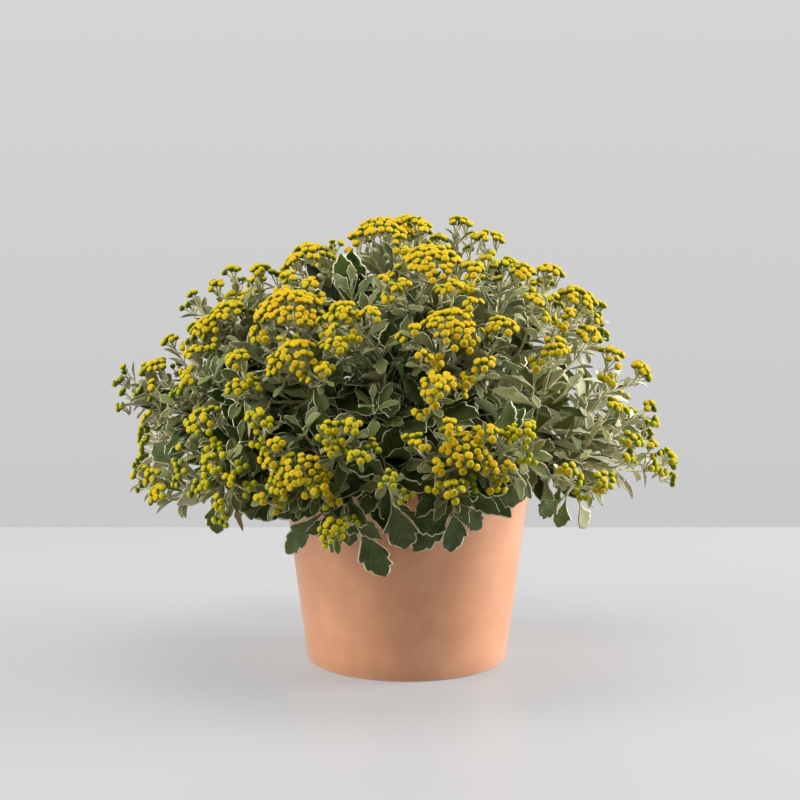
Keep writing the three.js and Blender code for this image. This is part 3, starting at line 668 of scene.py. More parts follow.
heads_tree, given = new_tree(
    "heads_on_stalk_ends",
    {
        "Heads": "Collection", "Head width": "Float", "Width spread": "Float", "Seed": "Int",
        "Finish": "Material",
    },
)
way = add_node(heads_tree, "GeometryNodeInputNamedAttribute", {"Name": "way"}, data_type="FLOAT_VECTOR")
upright = add_node(
    heads_tree, "FunctionNodeAlignRotationToVector", {"Vector": way.outputs["Attribute"]}, axis="Z"
)
rotation = spun(heads_tree, given, upright.outputs["Rotation"], (0, 0, 1), 0.0, FULL_TURN)
least = add_node(heads_tree, "ShaderNodeMath", {0: 1.0, 1: given["Width spread"]}, operation="SUBTRACT")
share = add_node(
    heads_tree, "FunctionNodeRandomValue", {2: least.outputs["Value"], 3: 1.0, "Seed": given["Seed"]}
)
width = add_node(
    heads_tree, "ShaderNodeMath", {0: share.outputs[1], 1: given["Head width"]}, operation="MULTIPLY"
)
heads_set = set_on_points(heads_tree, given, "Heads", rotation, width.outputs["Value"])
end_tree(heads_tree, heads_set, given["Finish"])


def cloud(name, points, **attributes):
    """Loose points in millimetres with their attributes, for a geometry tree to grow from."""
    piece = new_piece(name, points, [])
    for attribute, values in attributes.items():
        first = values[0]
        kind = "INT" if isinstance(first, int) else "FLOAT" if isinstance(first, float) else "FLOAT_VECTOR"
        layer = piece.data.attributes.new(attribute, kind, "POINT")
        flat = [c for v in values for c in v] if kind == "FLOAT_VECTOR" else values
        layer.data.foreach_set("vector" if kind == "FLOAT_VECTOR" else "value", flat)
    return piece


def tidy(piece, *attributes):
    """Drops the attributes that only the tree needed."""
    for attribute in attributes:
        layer = piece.data.attributes.get(attribute)
        if layer:
            piece.data.attributes.remove(layer)


# No head stands in another one's place
taken = {}


def is_free(p):
    """True where no head stands yet; the place is then kept."""
    cell = [math.floor(c / LEAST_SPACING) for c in p]
    for i in (-1, 0, 1):
        for j in (-1, 0, 1):
            for k in (-1, 0, 1):
                for q in taken.get((cell[0] + i, cell[1] + j, cell[2] + k), ()):
                    if (p - q).length < LEAST_SPACING:
                        return False
    taken.setdefault(tuple(cell), []).append(p)
    return True


# Each bunch is a dome of heads in a sunflower pattern, gathered in small clumps on hubs of
# their own; a few younger clumps stand out round its edge, lower down
for index, spray in enumerate(sprays):
    places, ways, ripe_values, kinds_of = [], [], [], []
    for b, spot in enumerate(spray["spots"]):
        seed = 1000 * index + 100 * b
        radius, axis = spot["radius"], spot["axis"]
        e1, e2 = cross_pair(axis)
        inner = radius - 0.4 * HEAD_WIDTH
        pitch = HEAD_PITCH + (RIPE_PITCH - HEAD_PITCH) * spray["ripe"]
        ring_step = pitch * math.sqrt(0.866 / math.pi)
        count = max(3, round((inner / ring_step) ** 2))
        fit = inner / (ring_step * math.sqrt(count))
        clumps = max(1, round((inner / HUB_STEP) ** 2))
        lobes = [FULL_TURN * draw(seed + 31), FULL_TURN * draw(seed + 32)]
        hubs = []
        for c in range(clumps):
            far = min(inner, HUB_STEP * math.sqrt(c + 0.5)) if clumps > 1 else 0
            around = GOLDEN_ANGLE * c + FULL_TURN * draw(seed + 91)
            hubs.append((far * math.cos(around), far * math.sin(around), 2.2 * (draw(seed + c + 50) - 0.5)))
        florets_at = []
        for h in range(count):
            if h > 3 and draw(seed + 3 * h + 2) < HEADS_MISSING:
                continue
            around = GOLDEN_ANGLE * h + FULL_TURN * draw(seed + 77)
            wander = 1 + 0.12 * math.sin(2 * around + lobes[0]) + 0.07 * math.sin(3 * around + lobes[1])
            far = ring_step * fit * math.sqrt(h + 0.5) * wander
            x = far * math.cos(around) + HEAD_JITTER * (draw(seed + 5 * h) - 0.5)
            y = far * math.sin(around) + HEAD_JITTER * (draw(seed + 5 * h + 1) - 0.5)
            near = min(range(clumps), key=lambda i: (hubs[i][0] - x) ** 2 + (hubs[i][1] - y) ** 2)
            x, y = x + CLUMP_PULL * (hubs[near][0] - x), y + CLUMP_PULL * (hubs[near][1] - y)
            florets_at.append((x, y, near, seed + 7 * h))
        for c in range(round(radius / EDGE_CLUMP_EVERY)):
            around = GOLDEN_ANGLE * c + FULL_TURN * draw(seed + 61)
            far = radius * (0.95 + 0.12 * draw(seed + c + 62)) + 2.2
            hx, hy = far * math.cos(around), far * math.sin(around)
            hubs.append((hx, hy, -1 - 3 * draw(seed + c + 70)))
            for h in range(3 + int(2.99 * draw(seed + c + 80))):
                turn = GOLDEN_ANGLE * h + around
                out = 2.5 * math.sqrt(h + 0.2)
                x, y = hx + out * math.cos(turn), hy + out * math.sin(turn)
                florets_at.append((x, y, len(hubs) - 1, seed + 13 * c + 7 * h + 3))
        spot["hubs"] = [[] for _ in hubs]
        spot["hub_places"] = []
        for x, y, rise in hubs:
            share = min(1.3, (x * x + y * y) / radius**2)
            low = 5.5 + 0.12 * radius + DOME_DROP * radius * (share - 0.5)
            spot["hub_places"].append(spot["centre"] + e1 * 0.82 * x + e2 * 0.82 * y + axis * (rise - low))
        for x, y, near, key in florets_at:
            share = min(1.3, (x * x + y * y) / radius**2)
            rise = 1.2 + hubs[near][2] + 1.3 * (draw(key + 3) - 0.5) - DOME_DROP * radius * (share - 0.5)
            p = spot["centre"] + e1 * x + e2 * y + axis * rise
            if not is_free(p):
                continue
            lean_x = HEAD_LEAN * x / radius + 0.05 * (x - hubs[near][0]) + 0.3 * (draw(key) - 0.5)
            lean_y = HEAD_LEAN * y / radius + 0.05 * (y - hubs[near][1]) + 0.3 * (draw(key + 1) - 0.5)
            way = (axis + e1 * lean_x + e2 * lean_y).normalized()
            ripeness = spray["ripe"] + 0.6 * (draw(key + 2) - 0.5) - 0.3 * share * (1 - 0.4 * spray["ripe"])
            ripeness = min(1.0, max(0.0, ripeness))
            places.append(p)
            ways.append(way)
            ripe_values.append(float(ripeness))
            kinds_of.append(0 if ripeness < 0.2 else 1 if ripeness < 0.45 else 2)
            spot["hubs"][near].append((p - way * 0.36 * HEAD_WIDTH, way))
    heads = cloud(f"flower_heads_{index + 1:02d}", places, way=ways, ripe=ripe_values, kind=kinds_of)
    grow(
        heads,
        heads_tree,
        {
            "Heads": head_kinds,
            "Head width": HEAD_WIDTH * MM,
            "Width spread": HEAD_SPREAD,
            "Seed": index,
            "Finish": florets,
        },
    )
    tidy(heads, "way", "kind")
    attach(heads, "root")
    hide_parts(f"flower_spray_{index + 1:02d}")


# Stems and stalks
# Woody stems stand in the soil and divide once; each branch ends in a stalk that divides again
# and again, down to one fine stalk for each head. All are covered in short silvery hairs.
TRUNK_RADIUS = 2.2
BRANCH_RADIUS = 1.5
STALK_RADIUS = 0.95
CLUMP_STALK_RADIUS = 0.62
FINE_STALK_RADIUS = 0.4
STALK_PITCH = 3.2
TUBE_SIDES = 6
SOCKET_DEPTH = 20
SHOOT_LENGTH = 45
FELT = "#bab685"
FELT_PALE = "#eee8bc"
WOOD = "#655f42"

# Young stems under a felt of short silvery hairs: matt, pale grey-green, browner near the soil
felt, tree, shader = new_material(
    "silver_felted_stem", Roughness=0.85, Specular_IOR_Level=0.2, Sheen_Weight=0.15
)
place = add_node(tree, "ShaderNodeTexCoord").outputs["Object"]
mottle = add_node(tree, "ShaderNodeTexNoise", {"Vector": place, "Scale": 260.0, "Detail": 3.0})
hairs = add_node(
    tree, "ShaderNodeValToRGB", {"Fac": mottle.outputs["Fac"]}, stops=[(0.35, FELT), (0.65, FELT_PALE)]
)
girth = add_node(tree, "ShaderNodeAttribute", attribute_name="girth").outputs["Fac"]
woody = add_node(tree, "ShaderNodeMapRange", {"Value": girth, "From Min": 1.3 * MM, "From Max": 2.2 * MM})
aged = add_node(
    tree,
    "ShaderNodeMix",
    {0: woody.outputs["Result"], 6: hairs.outputs["Color"], 7: linear(WOOD)},
    data_type="RGBA",
)
relief = add_node(
    tree, "ShaderNodeBump", {"Strength": 0.3, "Distance": 0.0003, "Height": mottle.outputs["Fac"]}
)
tree.links.new(aged.outputs[2], shader.inputs["Base Color"])
tree.links.new(relief.outputs["Normal"], shader.inputs["Normal"])

tubes_tree, given = new_tree(
    "tubes_along_stalks", {"Sides": "Int", "Thickness": "Float", "Finish": "Material"}
)
girth = add_node(tubes_tree, "GeometryNodeInputNamedAttribute", {"Name": "girth"}, data_type="FLOAT")
lines = add_node(tubes_tree, "GeometryNodeMeshToCurve", {"Mesh": given["Geometry"]})
section = add_node(
    tubes_tree, "GeometryNodeCurvePrimitiveCircle", {"Resolution": given["Sides"], "Radius": 1.0}
)
thick = add_node(
    tubes_tree, "ShaderNodeMath", {0: girth.outputs["Attribute"], 1: given["Thickness"]}, operation="MULTIPLY"
)
swept = add_node(
    tubes_tree,
    "GeometryNodeCurveToMesh",
    {
        "Curve": lines.outputs["Curve"],
        "Profile Curve": section.outputs["Curve"],
        "Scale": thick.outputs["Value"],
        "Fill Caps": True,
    },
)
soft = add_node(tubes_tree, "GeometryNodeSetShadeSmooth", {"Geometry": swept.outputs["Mesh"]})
end_tree(tubes_tree, soft.outputs["Geometry"], given["Finish"])

# Leafy shoots without flowers: stem, then the tip as across, up and depth inside the crown
SHOOTS = [
    (1, -33, 222, 9), (1, -24, 206, 16), (6, -16, 184, 14), (2, 60, 212, 10), (3, 90, 200, 8),
    (3, 73, 196, 14), (5, -98, 186, 10), (4, -97, 212, 8), (4, -116, 186, 8), (7, -116, 168, 8),
    (7, -138, 150, 6), (8, -128, 152, 10), (8, -100, 128, 12), (12, 103, 168, 8), (12, 120, 160, 6),
    (13, 116, 138, 8), (13, 136, 144, 4), (13, 110, 122, 12), (6, 52, 184, 12), (12, 76, 160, 14),
    (9, -62, 136, 12), (10, -20, 150, 18), (11, 74, 118, 10), (5, -92, 158, 12),
]

# Leafy shoots at the back: stem, bearing and height angle, and their share of the crown's reach
REAR_SHOOTS = [
    (14, -80, 22), (14, -46, 14), (14, -32, 32), (14, -44, 60), (15, -10, 14), (15, -12, 52),
    (15, 32, 20), (15, 6, 22), (16, 38, 12), (16, 26, 46), (16, 76, 22), (16, 44, 62),
]
REAR_SHOOT_SHARE = 0.84

# Large leaves of the front: stem, foot (across, up, depth inside the crown), tip, width
SHOW_LEAVES = [
    (10, (-28, 80, 42), (-12, 47, 42), 19), (10, (-9, 95, 38), (-2, 63, 42), 20),
    (11, (31, 93, 40), (4, 62, 42), 17), (11, (29, 92, 38), (26, 61, 42), 15),
    (11, (34, 92, 36), (45, 76, 40), 13), (9, (-50, 86, 38), (-73, 61, 38), 15),
    (9, (-38, 88, 38), (-29, 74, 42), 16), (8, (-113, 96, 14), (-113, 73, 10), 15),
    (8, (-98, 97, 20), (-78, 82, 22), 16), (13, (93, 94, 22), (80, 84, 20), 12),
    (13, (95, 94, 20), (90, 77, 18), 12), (13, (103, 92, 18), (108, 77, 16), 12),
    (5, (-37, 146, 26), (-9, 147, 22), 15), (10, (-17, 112, 30), (-17, 139, 26), 18),
    (10, (-11, 113, 30), (-5, 138, 26), 16), (6, (25, 152, 22), (-1, 128, 18), 15),
    (6, (24, 151, 20), (43, 144, 16), 15), (8, (-128, 133, 12), (-146, 114, 8), 16),
    (7, (-140, 152, 12), (-160, 150, 6), 13), (8, (-136, 112, 10), (-151, 128, 6), 14),
    (10, (-4, 88, 40), (24, 76, 40), 15), (11, (50, 100, 34), (68, 92, 30), 14),
    (10, (-20, 101, 36), (-48, 104, 32), 15),
]


def nearest_on(lines, point):
    """Nearest point to this one on a group of lines."""
    best = None
    for line in lines:
        for a, b in zip(line, line[1:]):
            share = max(0.0, min(1.0, (point - a).dot(b - a) / (b - a).length_squared))
            p = a.lerp(b, share)
            if best is None or (p - point).length < (best - point).length:
                best = p
    return best


def before_pot(p):
    """The point, brought towards the eye until it hangs clear of the pot's wall."""
    towards = (EYE - p).normalized()
    while p.z < POT_HEIGHT + 4 and math.hypot(p.x, p.y) < wall_radius(min(p.z, POT_HEIGHT)) + 7:
        p = p + towards
    return p


for stem in stems:
    root, split, own = stem["root"], stem["split"], stem["own"]
    foot = Vector((root.x, root.y, SOIL_TOP - SOCKET_DEPTH + SOIL_GAP))
    collar = Vector((root.x, root.y, SOIL_TOP + 4))
    rise = Vector((root.x, root.y, collar.z + 0.55 * (split.z - collar.z)))
    lean = (split - rise).normalized()
    bend = split - lean * 0.3 * (split - collar).length
    stem["trunk"] = bezier(collar, rise, bend, split, 8)
    lines = [([foot] + stem["trunk"], TRUNK_RADIUS, BRANCH_RADIUS * 1.1)]
    stem["branches"] = []
    for b, spray in enumerate(own):
        tip, lead = spray["foot"], spray["lead"]
        length = (tip - split).length
        away = (tip - split).normalized()
        if b == 0:
            away = (away + lean).normalized()
        branch = bezier(split, split + away * 0.3 * length, tip - lead * 0.4 * length, tip, 8)
        stem["branches"].append(branch)
        lines.append((branch, BRANCH_RADIUS * 1.05, STALK_RADIUS * 1.15))
        main = spray["spots"][0]
        lines.append(([tip, tip.lerp(main["neck"], 0.5), main["neck"]], STALK_RADIUS * 1.15, STALK_RADIUS))
        side = sorted(spray["spots"][1:], key=lambda s: -(s["centre"] - tip).cross(lead).length)
        room = (main["neck"] - tip).length - 3
        pitch = min(STALK_PITCH, (room - 4) / max(1, len(side)))
        for k, spot in enumerate(side):
            joint = tip + lead * (4 + pitch * (k + 0.5))
            reach = (spot["neck"] - joint).length
            bow = spot["neck"] - spot["axis"] * 0.3 * reach
            spot["arc"] = bezier(joint, joint + lead * 0.35 * reach, bow, spot["neck"], 5)
            lines.append((spot["arc"], STALK_RADIUS * 0.9, STALK_RADIUS * 0.7))
        for spot in spray["spots"]:
            neck = spot["neck"]
            for hub, ends in zip(spot["hub_places"], spot["hubs"]):
                if not ends:
                    continue
                reach = (hub - neck).length
                rise, fall = spot["axis"] * 0.35 * reach, spot["axis"] * 0.25 * reach
                arc = bezier(neck, neck + rise, hub - fall, hub, 4)
                lines.append((arc, CLUMP_STALK_RADIUS * 1.1, CLUMP_STALK_RADIUS * 0.9))
                for end, way in ends:
                    bow = hub.lerp(end, 0.5) - way * 0.12 * (end - hub).length
                    lines.append(([hub, bow, end + way * 0.4], FINE_STALK_RADIUS, FINE_STALK_RADIUS * 1.1))
    stem["shoots"] = []
    tips = [on_crown(*tip) for owner, *tip in SHOOTS if owner == stem["number"]]
    tips += [behind(*tip, REAR_SHOOT_SHARE) for owner, *tip in REAR_SHOOTS if owner == stem["number"]]
    for end in tips:
        way = facing(end)
        joint = nearest_on(stem["branches"], end - way * SHOOT_LENGTH)
        reach = (end - joint).length
        out = (way + (end - joint).normalized()).normalized()
        shoot = bezier(joint, joint + out * 0.3 * reach, end - way * 0.4 * reach, end, 6)
        stem["shoots"].append(shoot)
        lines.append((shoot, STALK_RADIUS * 1.1, STALK_RADIUS * 0.7))
    stem["show"] = []
    for owner, foot_at, tip_at, width in SHOW_LEAVES:
        if owner != stem["number"]:
            continue
        base, end = before_pot(on_crown(*foot_at)), before_pot(on_crown(*tip_at))
        joint = nearest_on(stem["branches"], base)
        if base.z < POT_HEIGHT + 8:
            reach = (base - joint).length
            over = base.lerp(joint, 0.3) + UP * 0.25 * reach
            petiole = bezier(joint, over, base - (end - base) * 0.3, base, 5)
            lines.append((petiole, STALK_RADIUS, STALK_RADIUS * 0.7))
            stem["show"].append((base, end, width))
        else:
            stem["show"].append((joint, end, width))
    points, edges, girths = [], [], []
    for line, thick_end, thin_end in lines:
        for i, p in enumerate(line):
            if i:
                edges.append((len(points) - 1, len(points)))
            points.append(p * MM)
            girths.append((thick_end + (thin_end - thick_end) * i / (len(line) - 1)) * MM)
    mesh = bpy.data.meshes.new("skeleton")
    mesh.from_pydata(points, edges, [])
    mesh.attributes.new("girth", "FLOAT", "POINT").data.foreach_set("value", girths)
    wood = bpy.data.objects.new(f"stem_{stem['number']:02d}", mesh)
    scene.collection.objects.link(wood)
    grow(wood, tubes_tree, {"Sides": TUBE_SIDES, "Thickness": 1.0, "Finish": felt})
    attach(wood, "root")
    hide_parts(f"leafy_stem_{stem['number']:02d}")


# Leaves
# Wedge-shaped leaves with blunt lobes round their outer half, set in a spiral on every stem:
# dark green and satiny above, grey felt below, with a fine silver edge. They end small and grey.
LEAF_SHORTEST = 16
LEAF_PITCH = 2.2
LEAF_THICKNESS = 0.02
MARGIN_SHARE = 0.045
LEAF_GREEN = "#375019"
LEAF_DEEP = "#1a2b0a"
LEAF_GREY = "#989b60"
LEAF_PALE = "#e0dfc4"
LEAF_VEIN = "#7a8748"
LEAF_SILVER = "#f4ebc4"
LEAF_UNDER = "#c4c29c"
# Leaves grow paler to the right between these places: partly felt, partly a painted highlight
FELT_AND_HIGHLIGHT_FROM = 40
FELT_AND_HIGHLIGHT_TO = 110
FELT_AND_HIGHLIGHT_MOST = 1.5
# How a stem is leaved: gap between leaves against LEAF_PITCH, felt, width for the length, longest
FULL = (1, 0.5, 0.36, 44)
OPEN = (1.4, 0.5, 0.32, 40)
FINE = (2.2, 0.6, 0.26, 33)
# The right-hand stems are open, with few and slender leaves
LEAVED = {3: FINE, 12: FINE, 13: FINE, 16: OPEN}

# Leaf edges, for a length and width of 1: share of the length, half-width
EDGES = [
    [(0, 0.03), (0.1, 0.05), (0.2, 0.1), (0.31, 0.18), (0.42, 0.29), (0.52, 0.4), (0.58, 0.43),
     (0.62, 0.41), (0.64, 0.34), (0.7, 0.36), (0.77, 0.38), (0.81, 0.35), (0.83, 0.26), (0.88, 0.24),
     (0.94, 0.16), (0.98, 0.06), (1, 0)],
    [(0, 0.03), (0.12, 0.06), (0.26, 0.13), (0.4, 0.25), (0.52, 0.38), (0.6, 0.45), (0.65, 0.44),
     (0.67, 0.35), (0.75, 0.36), (0.82, 0.34), (0.87, 0.29), (0.89, 0.21), (0.94, 0.15), (0.98, 0.07),
     (1, 0)],
    [(0, 0.04), (0.18, 0.09), (0.36, 0.2), (0.52, 0.36), (0.63, 0.47), (0.69, 0.47), (0.71, 0.36),
     (0.8, 0.35), (0.87, 0.29), (0.89, 0.21), (0.95, 0.13), (1, 0)],
    [(0, 0.05), (0.22, 0.13), (0.45, 0.3), (0.62, 0.47), (0.7, 0.5), (0.725, 0.37), (0.83, 0.32),
     (0.93, 0.18), (1, 0)],
    [(0, 0.06), (0.22, 0.15), (0.45, 0.33), (0.66, 0.47), (0.82, 0.42), (0.93, 0.25), (1, 0)],
]
# Each kind: edge, fold up along the midrib, droop, ripple of the edge, and sideways bend
LEAF_KINDS = [
    (0, 0.32, 0.16, 0.022, 0.03), (0, 0.18, 0.26, 0.03, -0.05), (1, 0.38, 0.12, 0.024, 0.05),
    (1, 0.22, 0.3, 0.028, -0.03), (2, 0.4, 0.14, 0.024, 0.06), (2, 0.25, 0.32, 0.03, -0.06),
    (3, 0.45, 0.18, 0.02, 0.04), (3, 0.3, 0.36, 0.026, -0.05), (4, 0.5, 0.15, 0.015, 0.03),
    (0, 0.22, 0.02, 0.02, 0.05), (1, 0.26, 0.03, 0.022, -0.05),
]
BROAD, MIDDLE, SMALL, BRACT_LEAF, HANGING = (0, 1, 2, 3), (2, 3, 4, 5), (5, 6, 7), (8, 8), (9, 10)

leaf_kinds = bpy.data.collections.new("leaf_kinds")
for kind, (edge_index, fold, droop, ripple, sway) in enumerate(LEAF_KINDS):
    edge = EDGES[edge_index]
    columns = [0, 0.5] if edge_index < 3 else [0]
    points, rims, veins, unders, alongs, faces = [], [], [], [], [], []

    def put(x, y, lift, rim, vein, under):
        z = 0.5 * fold * abs(x) * (1 - 0.4 * y) + lift - droop * y * y
        z += ripple * math.sin(17 * y + (2.1 if x > 0 else 0.3) + kind) * min(1, abs(x) * 2.6)
        points.append((x + sway * math.sin(2.6 * y), y, z))
        rims.append(float(rim))
        veins.append(float(vein))
        unders.append(float(under))
        alongs.append(float(y))
        return len(points) - 1

    spine = {}
    for layer, hand_up in ((0, 1), (1, -1)):
        for i, (y, _) in enumerate(edge):
            half = 0.5 * LEAF_THICKNESS * (1 - 0.5 * y) if 0 < i < len(edge) - 1 else 0
            spine[layer, i] = put(0, y, hand_up * half, 1, 0, layer) if half or not layer else spine[0, i]
    for hand in (1, -1):
        rows = []
        for i, (y, half_width) in enumerate(edge[:-1]):
            before, after = edge[max(i - 1, 0)], edge[i + 1]
            along = Vector((0.5 * (after[1] - before[1]), after[0] - before[0])).normalized()
            inward = Vector((-along.y, along.x))
            inset = min(MARGIN_SHARE, 0.6 * half_width * 0.5)
            ix, iy = half_width + inward.x * inset * 2, y + inward.y * inset
            ix = max(ix, 0.35 * half_width)
            outer = put(hand * half_width, y, 0, 0, 1, 0.5)
            layers = []
            for layer, sign in ((0, 1), (1, -1)):
                lift = sign * 0.3 * LEAF_THICKNESS
                cells = [put(hand * ix, iy, lift, 1, 1, layer)]
                for column in columns[1:]:
                    across, up = hand * ix * (1 - column), iy + (y - iy) * column
                    cells.append(put(across, up, lift, 1, 1 - column, layer))
                layers.append([outer] + cells + [spine[layer, i]])
            rows.append(layers)
        tip = spine[0, len(edge) - 1]
        for layer in (0, 1):
            flip = (hand == 1) == (layer == 0)
            for low, high in zip(rows, rows[1:]):
                for a, b, c, d in zip(low[layer], low[layer][1:], high[layer][1:], high[layer]):
                    face = [v for j, v in enumerate((a, b, c, d)) if v != (a, b, c, d)[j - 1]]
                    faces.append(face[::-1] if flip else face)
            last = rows[-1][layer]
            for a, b in zip(last, last[1:]):
                faces.append([tip, b, a] if flip else [a, b, tip])
    mesh = bpy.data.meshes.new(f"leaf_{kind}")
    mesh.from_pydata(points, [], faces)
    mesh.shade_smooth()
    for layer_name, values in (("rim", rims), ("vein", veins), ("under", unders), ("along", alongs)):
        mesh.attributes.new(layer_name, "FLOAT", "POINT").data.foreach_set("value", values)
    shape = bmesh.new()
    shape.from_mesh(mesh)
    bmesh.ops.recalc_face_normals(shape, faces=shape.faces)
    if shape.calc_volume(signed=True) < 0:
        bmesh.ops.reverse_faces(shape, faces=shape.faces)
    shape.to_mesh(mesh)
    shape.free()
    leaf_kinds.objects.link(bpy.data.objects.new(f"leaf_{kind}", mesh))

# A living leaf: waxy and satiny above with pressed-in veins, felted silver below and on its edge
leaf, tree, shader = new_material("silver_edged_leaf", Roughness=0.45, Specular_IOR_Level=0.15)
place = add_node(tree, "ShaderNodeTexCoord").outputs["Object"]
rim, vein, under, grey, along = (
    add_node(tree, "ShaderNodeAttribute", attribute_name=name).outputs["Fac"]
    for name in ("rim", "vein", "under", "grey", "along")
)
mottle = add_node(tree, "ShaderNodeTexNoise", {"Vector": place, "Scale": 140.0, "Detail": 4.0})
green = add_node(
    tree, "ShaderNodeValToRGB", {"Fac": mottle.outputs["Fac"]}, stops=[(0.3, LEAF_DEEP), (0.7, LEAF_GREEN)]
)
# The greyest leaves are pale all over, with felt and with the painted highlight of the leaves on the right
felted = add_node(tree, "ShaderNodeMapRange", {"Value": grey, "From Min": 1.0, "From Max": 2.0})
# Midrib, and side veins that slant up from it towards the lobes
slant = add_node(tree, "ShaderNodeMath", {0: vein, 1: -0.3, 2: along}, operation="MULTIPLY_ADD")
beside = add_node(tree, "ShaderNodeMath", {0: slant.outputs["Value"], 1: 0.085}, operation="PINGPONG")
both = add_node(tree, "ShaderNodeMath", {0: vein, 1: beside.outputs["Value"]}, operation="MINIMUM")
near_rib = add_node(
    tree,
    "ShaderNodeMapRange",
    {"Value": both.outputs["Value"], "From Min": 0.003, "From Max": 0.018, "To Min": 0.35, "To Max": 0.0},
)
below = add_node(tree, "ShaderNodeMapRange", {"Value": under, "From Min": 0.4, "From Max": 0.6})
at_edge = add_node(
    tree,
    "ShaderNodeMapRange",
    {"Value": rim, "From Min": 0.22, "From Max": 0.45, "To Min": 1.0, "To Max": 0.0},
)
tone = green.outputs["Color"]
for share, colour in (
    (grey, LEAF_GREY),
    (felted.outputs["Result"], LEAF_PALE),
    (near_rib.outputs["Result"], LEAF_VEIN),
    (below.outputs["Result"], LEAF_UNDER),
    (at_edge.outputs["Result"], LEAF_SILVER),
):
    over = add_node(tree, "ShaderNodeMix", {0: share, 6: tone, 7: linear(colour)}, data_type="RGBA")
    tone = over.outputs[2]
matt = add_node(
    tree,
    "ShaderNodeMapRange",
    {"Value": under, "From Min": 0.4, "From Max": 0.6, "To Min": 0.42, "To Max": 0.85},
)
relief = add_node(
    tree, "ShaderNodeBump", {"Strength": 0.25, "Distance": 0.0005, "Height": mottle.outputs["Fac"]}
)
tree.links.new(tone, shader.inputs["Base Color"])
tree.links.new(matt.outputs["Result"], shader.inputs["Roughness"])
tree.links.new(relief.outputs["Normal"], shader.inputs["Normal"])

leaves_tree, given = new_tree(
    "leaves_on_stems", {"Leaves": "Collection", "Roll": "Float", "Seed": "Int", "Finish": "Material"}
)
way, face, size = (
    add_node(leaves_tree, "GeometryNodeInputNamedAttribute", {"Name": name}, data_type="FLOAT_VECTOR")
    for name in ("way", "face", "size")
)
lay = add_node(
    leaves_tree,
    "FunctionNodeAxesToRotation",
    {"Primary Axis": way.outputs["Attribute"], "Secondary Axis": face.outputs["Attribute"]},
    primary_axis="Y",
    secondary_axis="Z",
)
least = add_node(leaves_tree, "ShaderNodeMath", {0: 0.0, 1: given["Roll"]}, operation="SUBTRACT")
rotation = spun(
    leaves_tree, given, lay.outputs["Rotation"], (0, 1, 0), least.outputs["Value"], given["Roll"]
)
leaves_set = set_on_points(leaves_tree, given, "Leaves", rotation, size.outputs["Attribute"])
end_tree(leaves_tree, leaves_set, given["Finish"])


def point_on(line, down):
    """Point and direction of a line at a distance back from its end."""
    for a, b in zip(reversed(line[:-1]), reversed(line[1:])):
        step = (b - a).length
        if down <= step:
            return b.lerp(a, down / step), (b - a).normalized()
        down -= step
    return None


def blocked(foot, way, length, droop):
    """True where a leaf would run into the pot or the soil."""
    for share in (0.35, 0.6, 0.8, 1.0):
        p = foot + way * length * share - UP * droop * length * share * share
        out = math.hypot(p.x, p.y)
        if p.z < SOIL_TOP + 3 and out < POT_TOP_RADIUS - POT_WALL + 2:
            return True
        if p.z < POT_HEIGHT + 3 and out < wall_radius(min(p.z, POT_HEIGHT)) + 4 and out > POT_TOP_RADIUS - 12:
            return True
        if p.z < POT_HEIGHT and out < wall_radius(max(p.z, 0)) + 3:
            return True
    return False


def leaf_at(store, foot, way, face, length, width, kind, grey):
    """Adds one leaf to a stem's store; its droop is the one built into its kind."""
    # Leaves to the right grow paler: partly young felt, partly a painted highlight from the right lamp
    share = max(0.0, min(1.0, (foot.x - FELT_AND_HIGHLIGHT_FROM) / (FELT_AND_HIGHLIGHT_TO - FELT_AND_HIGHLIGHT_FROM)))
    grey += share * (FELT_AND_HIGHLIGHT_MOST if draw(foot.x + 3 * foot.z) > 0.42 else 0.1)
    droop = LEAF_KINDS[kind][2]
    if blocked(foot, way, length, droop):
        return
    size = (width * MM, length * MM, length * MM)
    for values, value in zip(store.values(), (foot, tuple(way), tuple(face), size, kind, float(grey))):
        values.append(value)


def spiral(store, line, pitch, least, grows_over, tilts, seed, groups, leaved):
    """Leaves set in a spiral down a line from its end, where they are smallest and greyest."""
    sparse, grey, slender, longest = leaved
    pitch *= sparse
    reach = sum((b - a).length for a, b in zip(line, line[1:]))
    k = 0
    while (down := 0.5 + pitch * k + 0.06 * k * k) < 0.97 * reach:
        foot, along = point_on(line, down)
        e1, e2 = cross_pair(along)
        key = seed + k
        grown_to = min(1.0, down / grows_over)
        turn = GOLDEN_ANGLE * k + 0.6 * draw(key) + seed
        out = e1 * math.cos(turn) + e2 * math.sin(turn)
        tilt = math.radians(tilts[0] + (tilts[1] - tilts[0]) * draw(key + 0.5))
        way = along * math.cos(tilt) + out * math.sin(tilt)
        group = groups[min(len(groups) - 1, int(grown_to * len(groups)))]
        kind = group[int(draw(key + 0.3) * len(group)) % len(group)]
        length = (least + (longest - least) * grown_to) * (0.82 + 0.3 * draw(key + 0.7))
        width = length * (slender + 0.06 * grown_to + 0.1 * draw(key + 0.8))
        leaf_grey = max(0.0, grey - 1.1 * grown_to) + (0.15 + 0.3 * grey) * (draw(key + 0.6) - 0.3)
        leaf_at(store, foot, way, along + UP * 0.8, length, width, kind, leaf_grey)
        k += 1


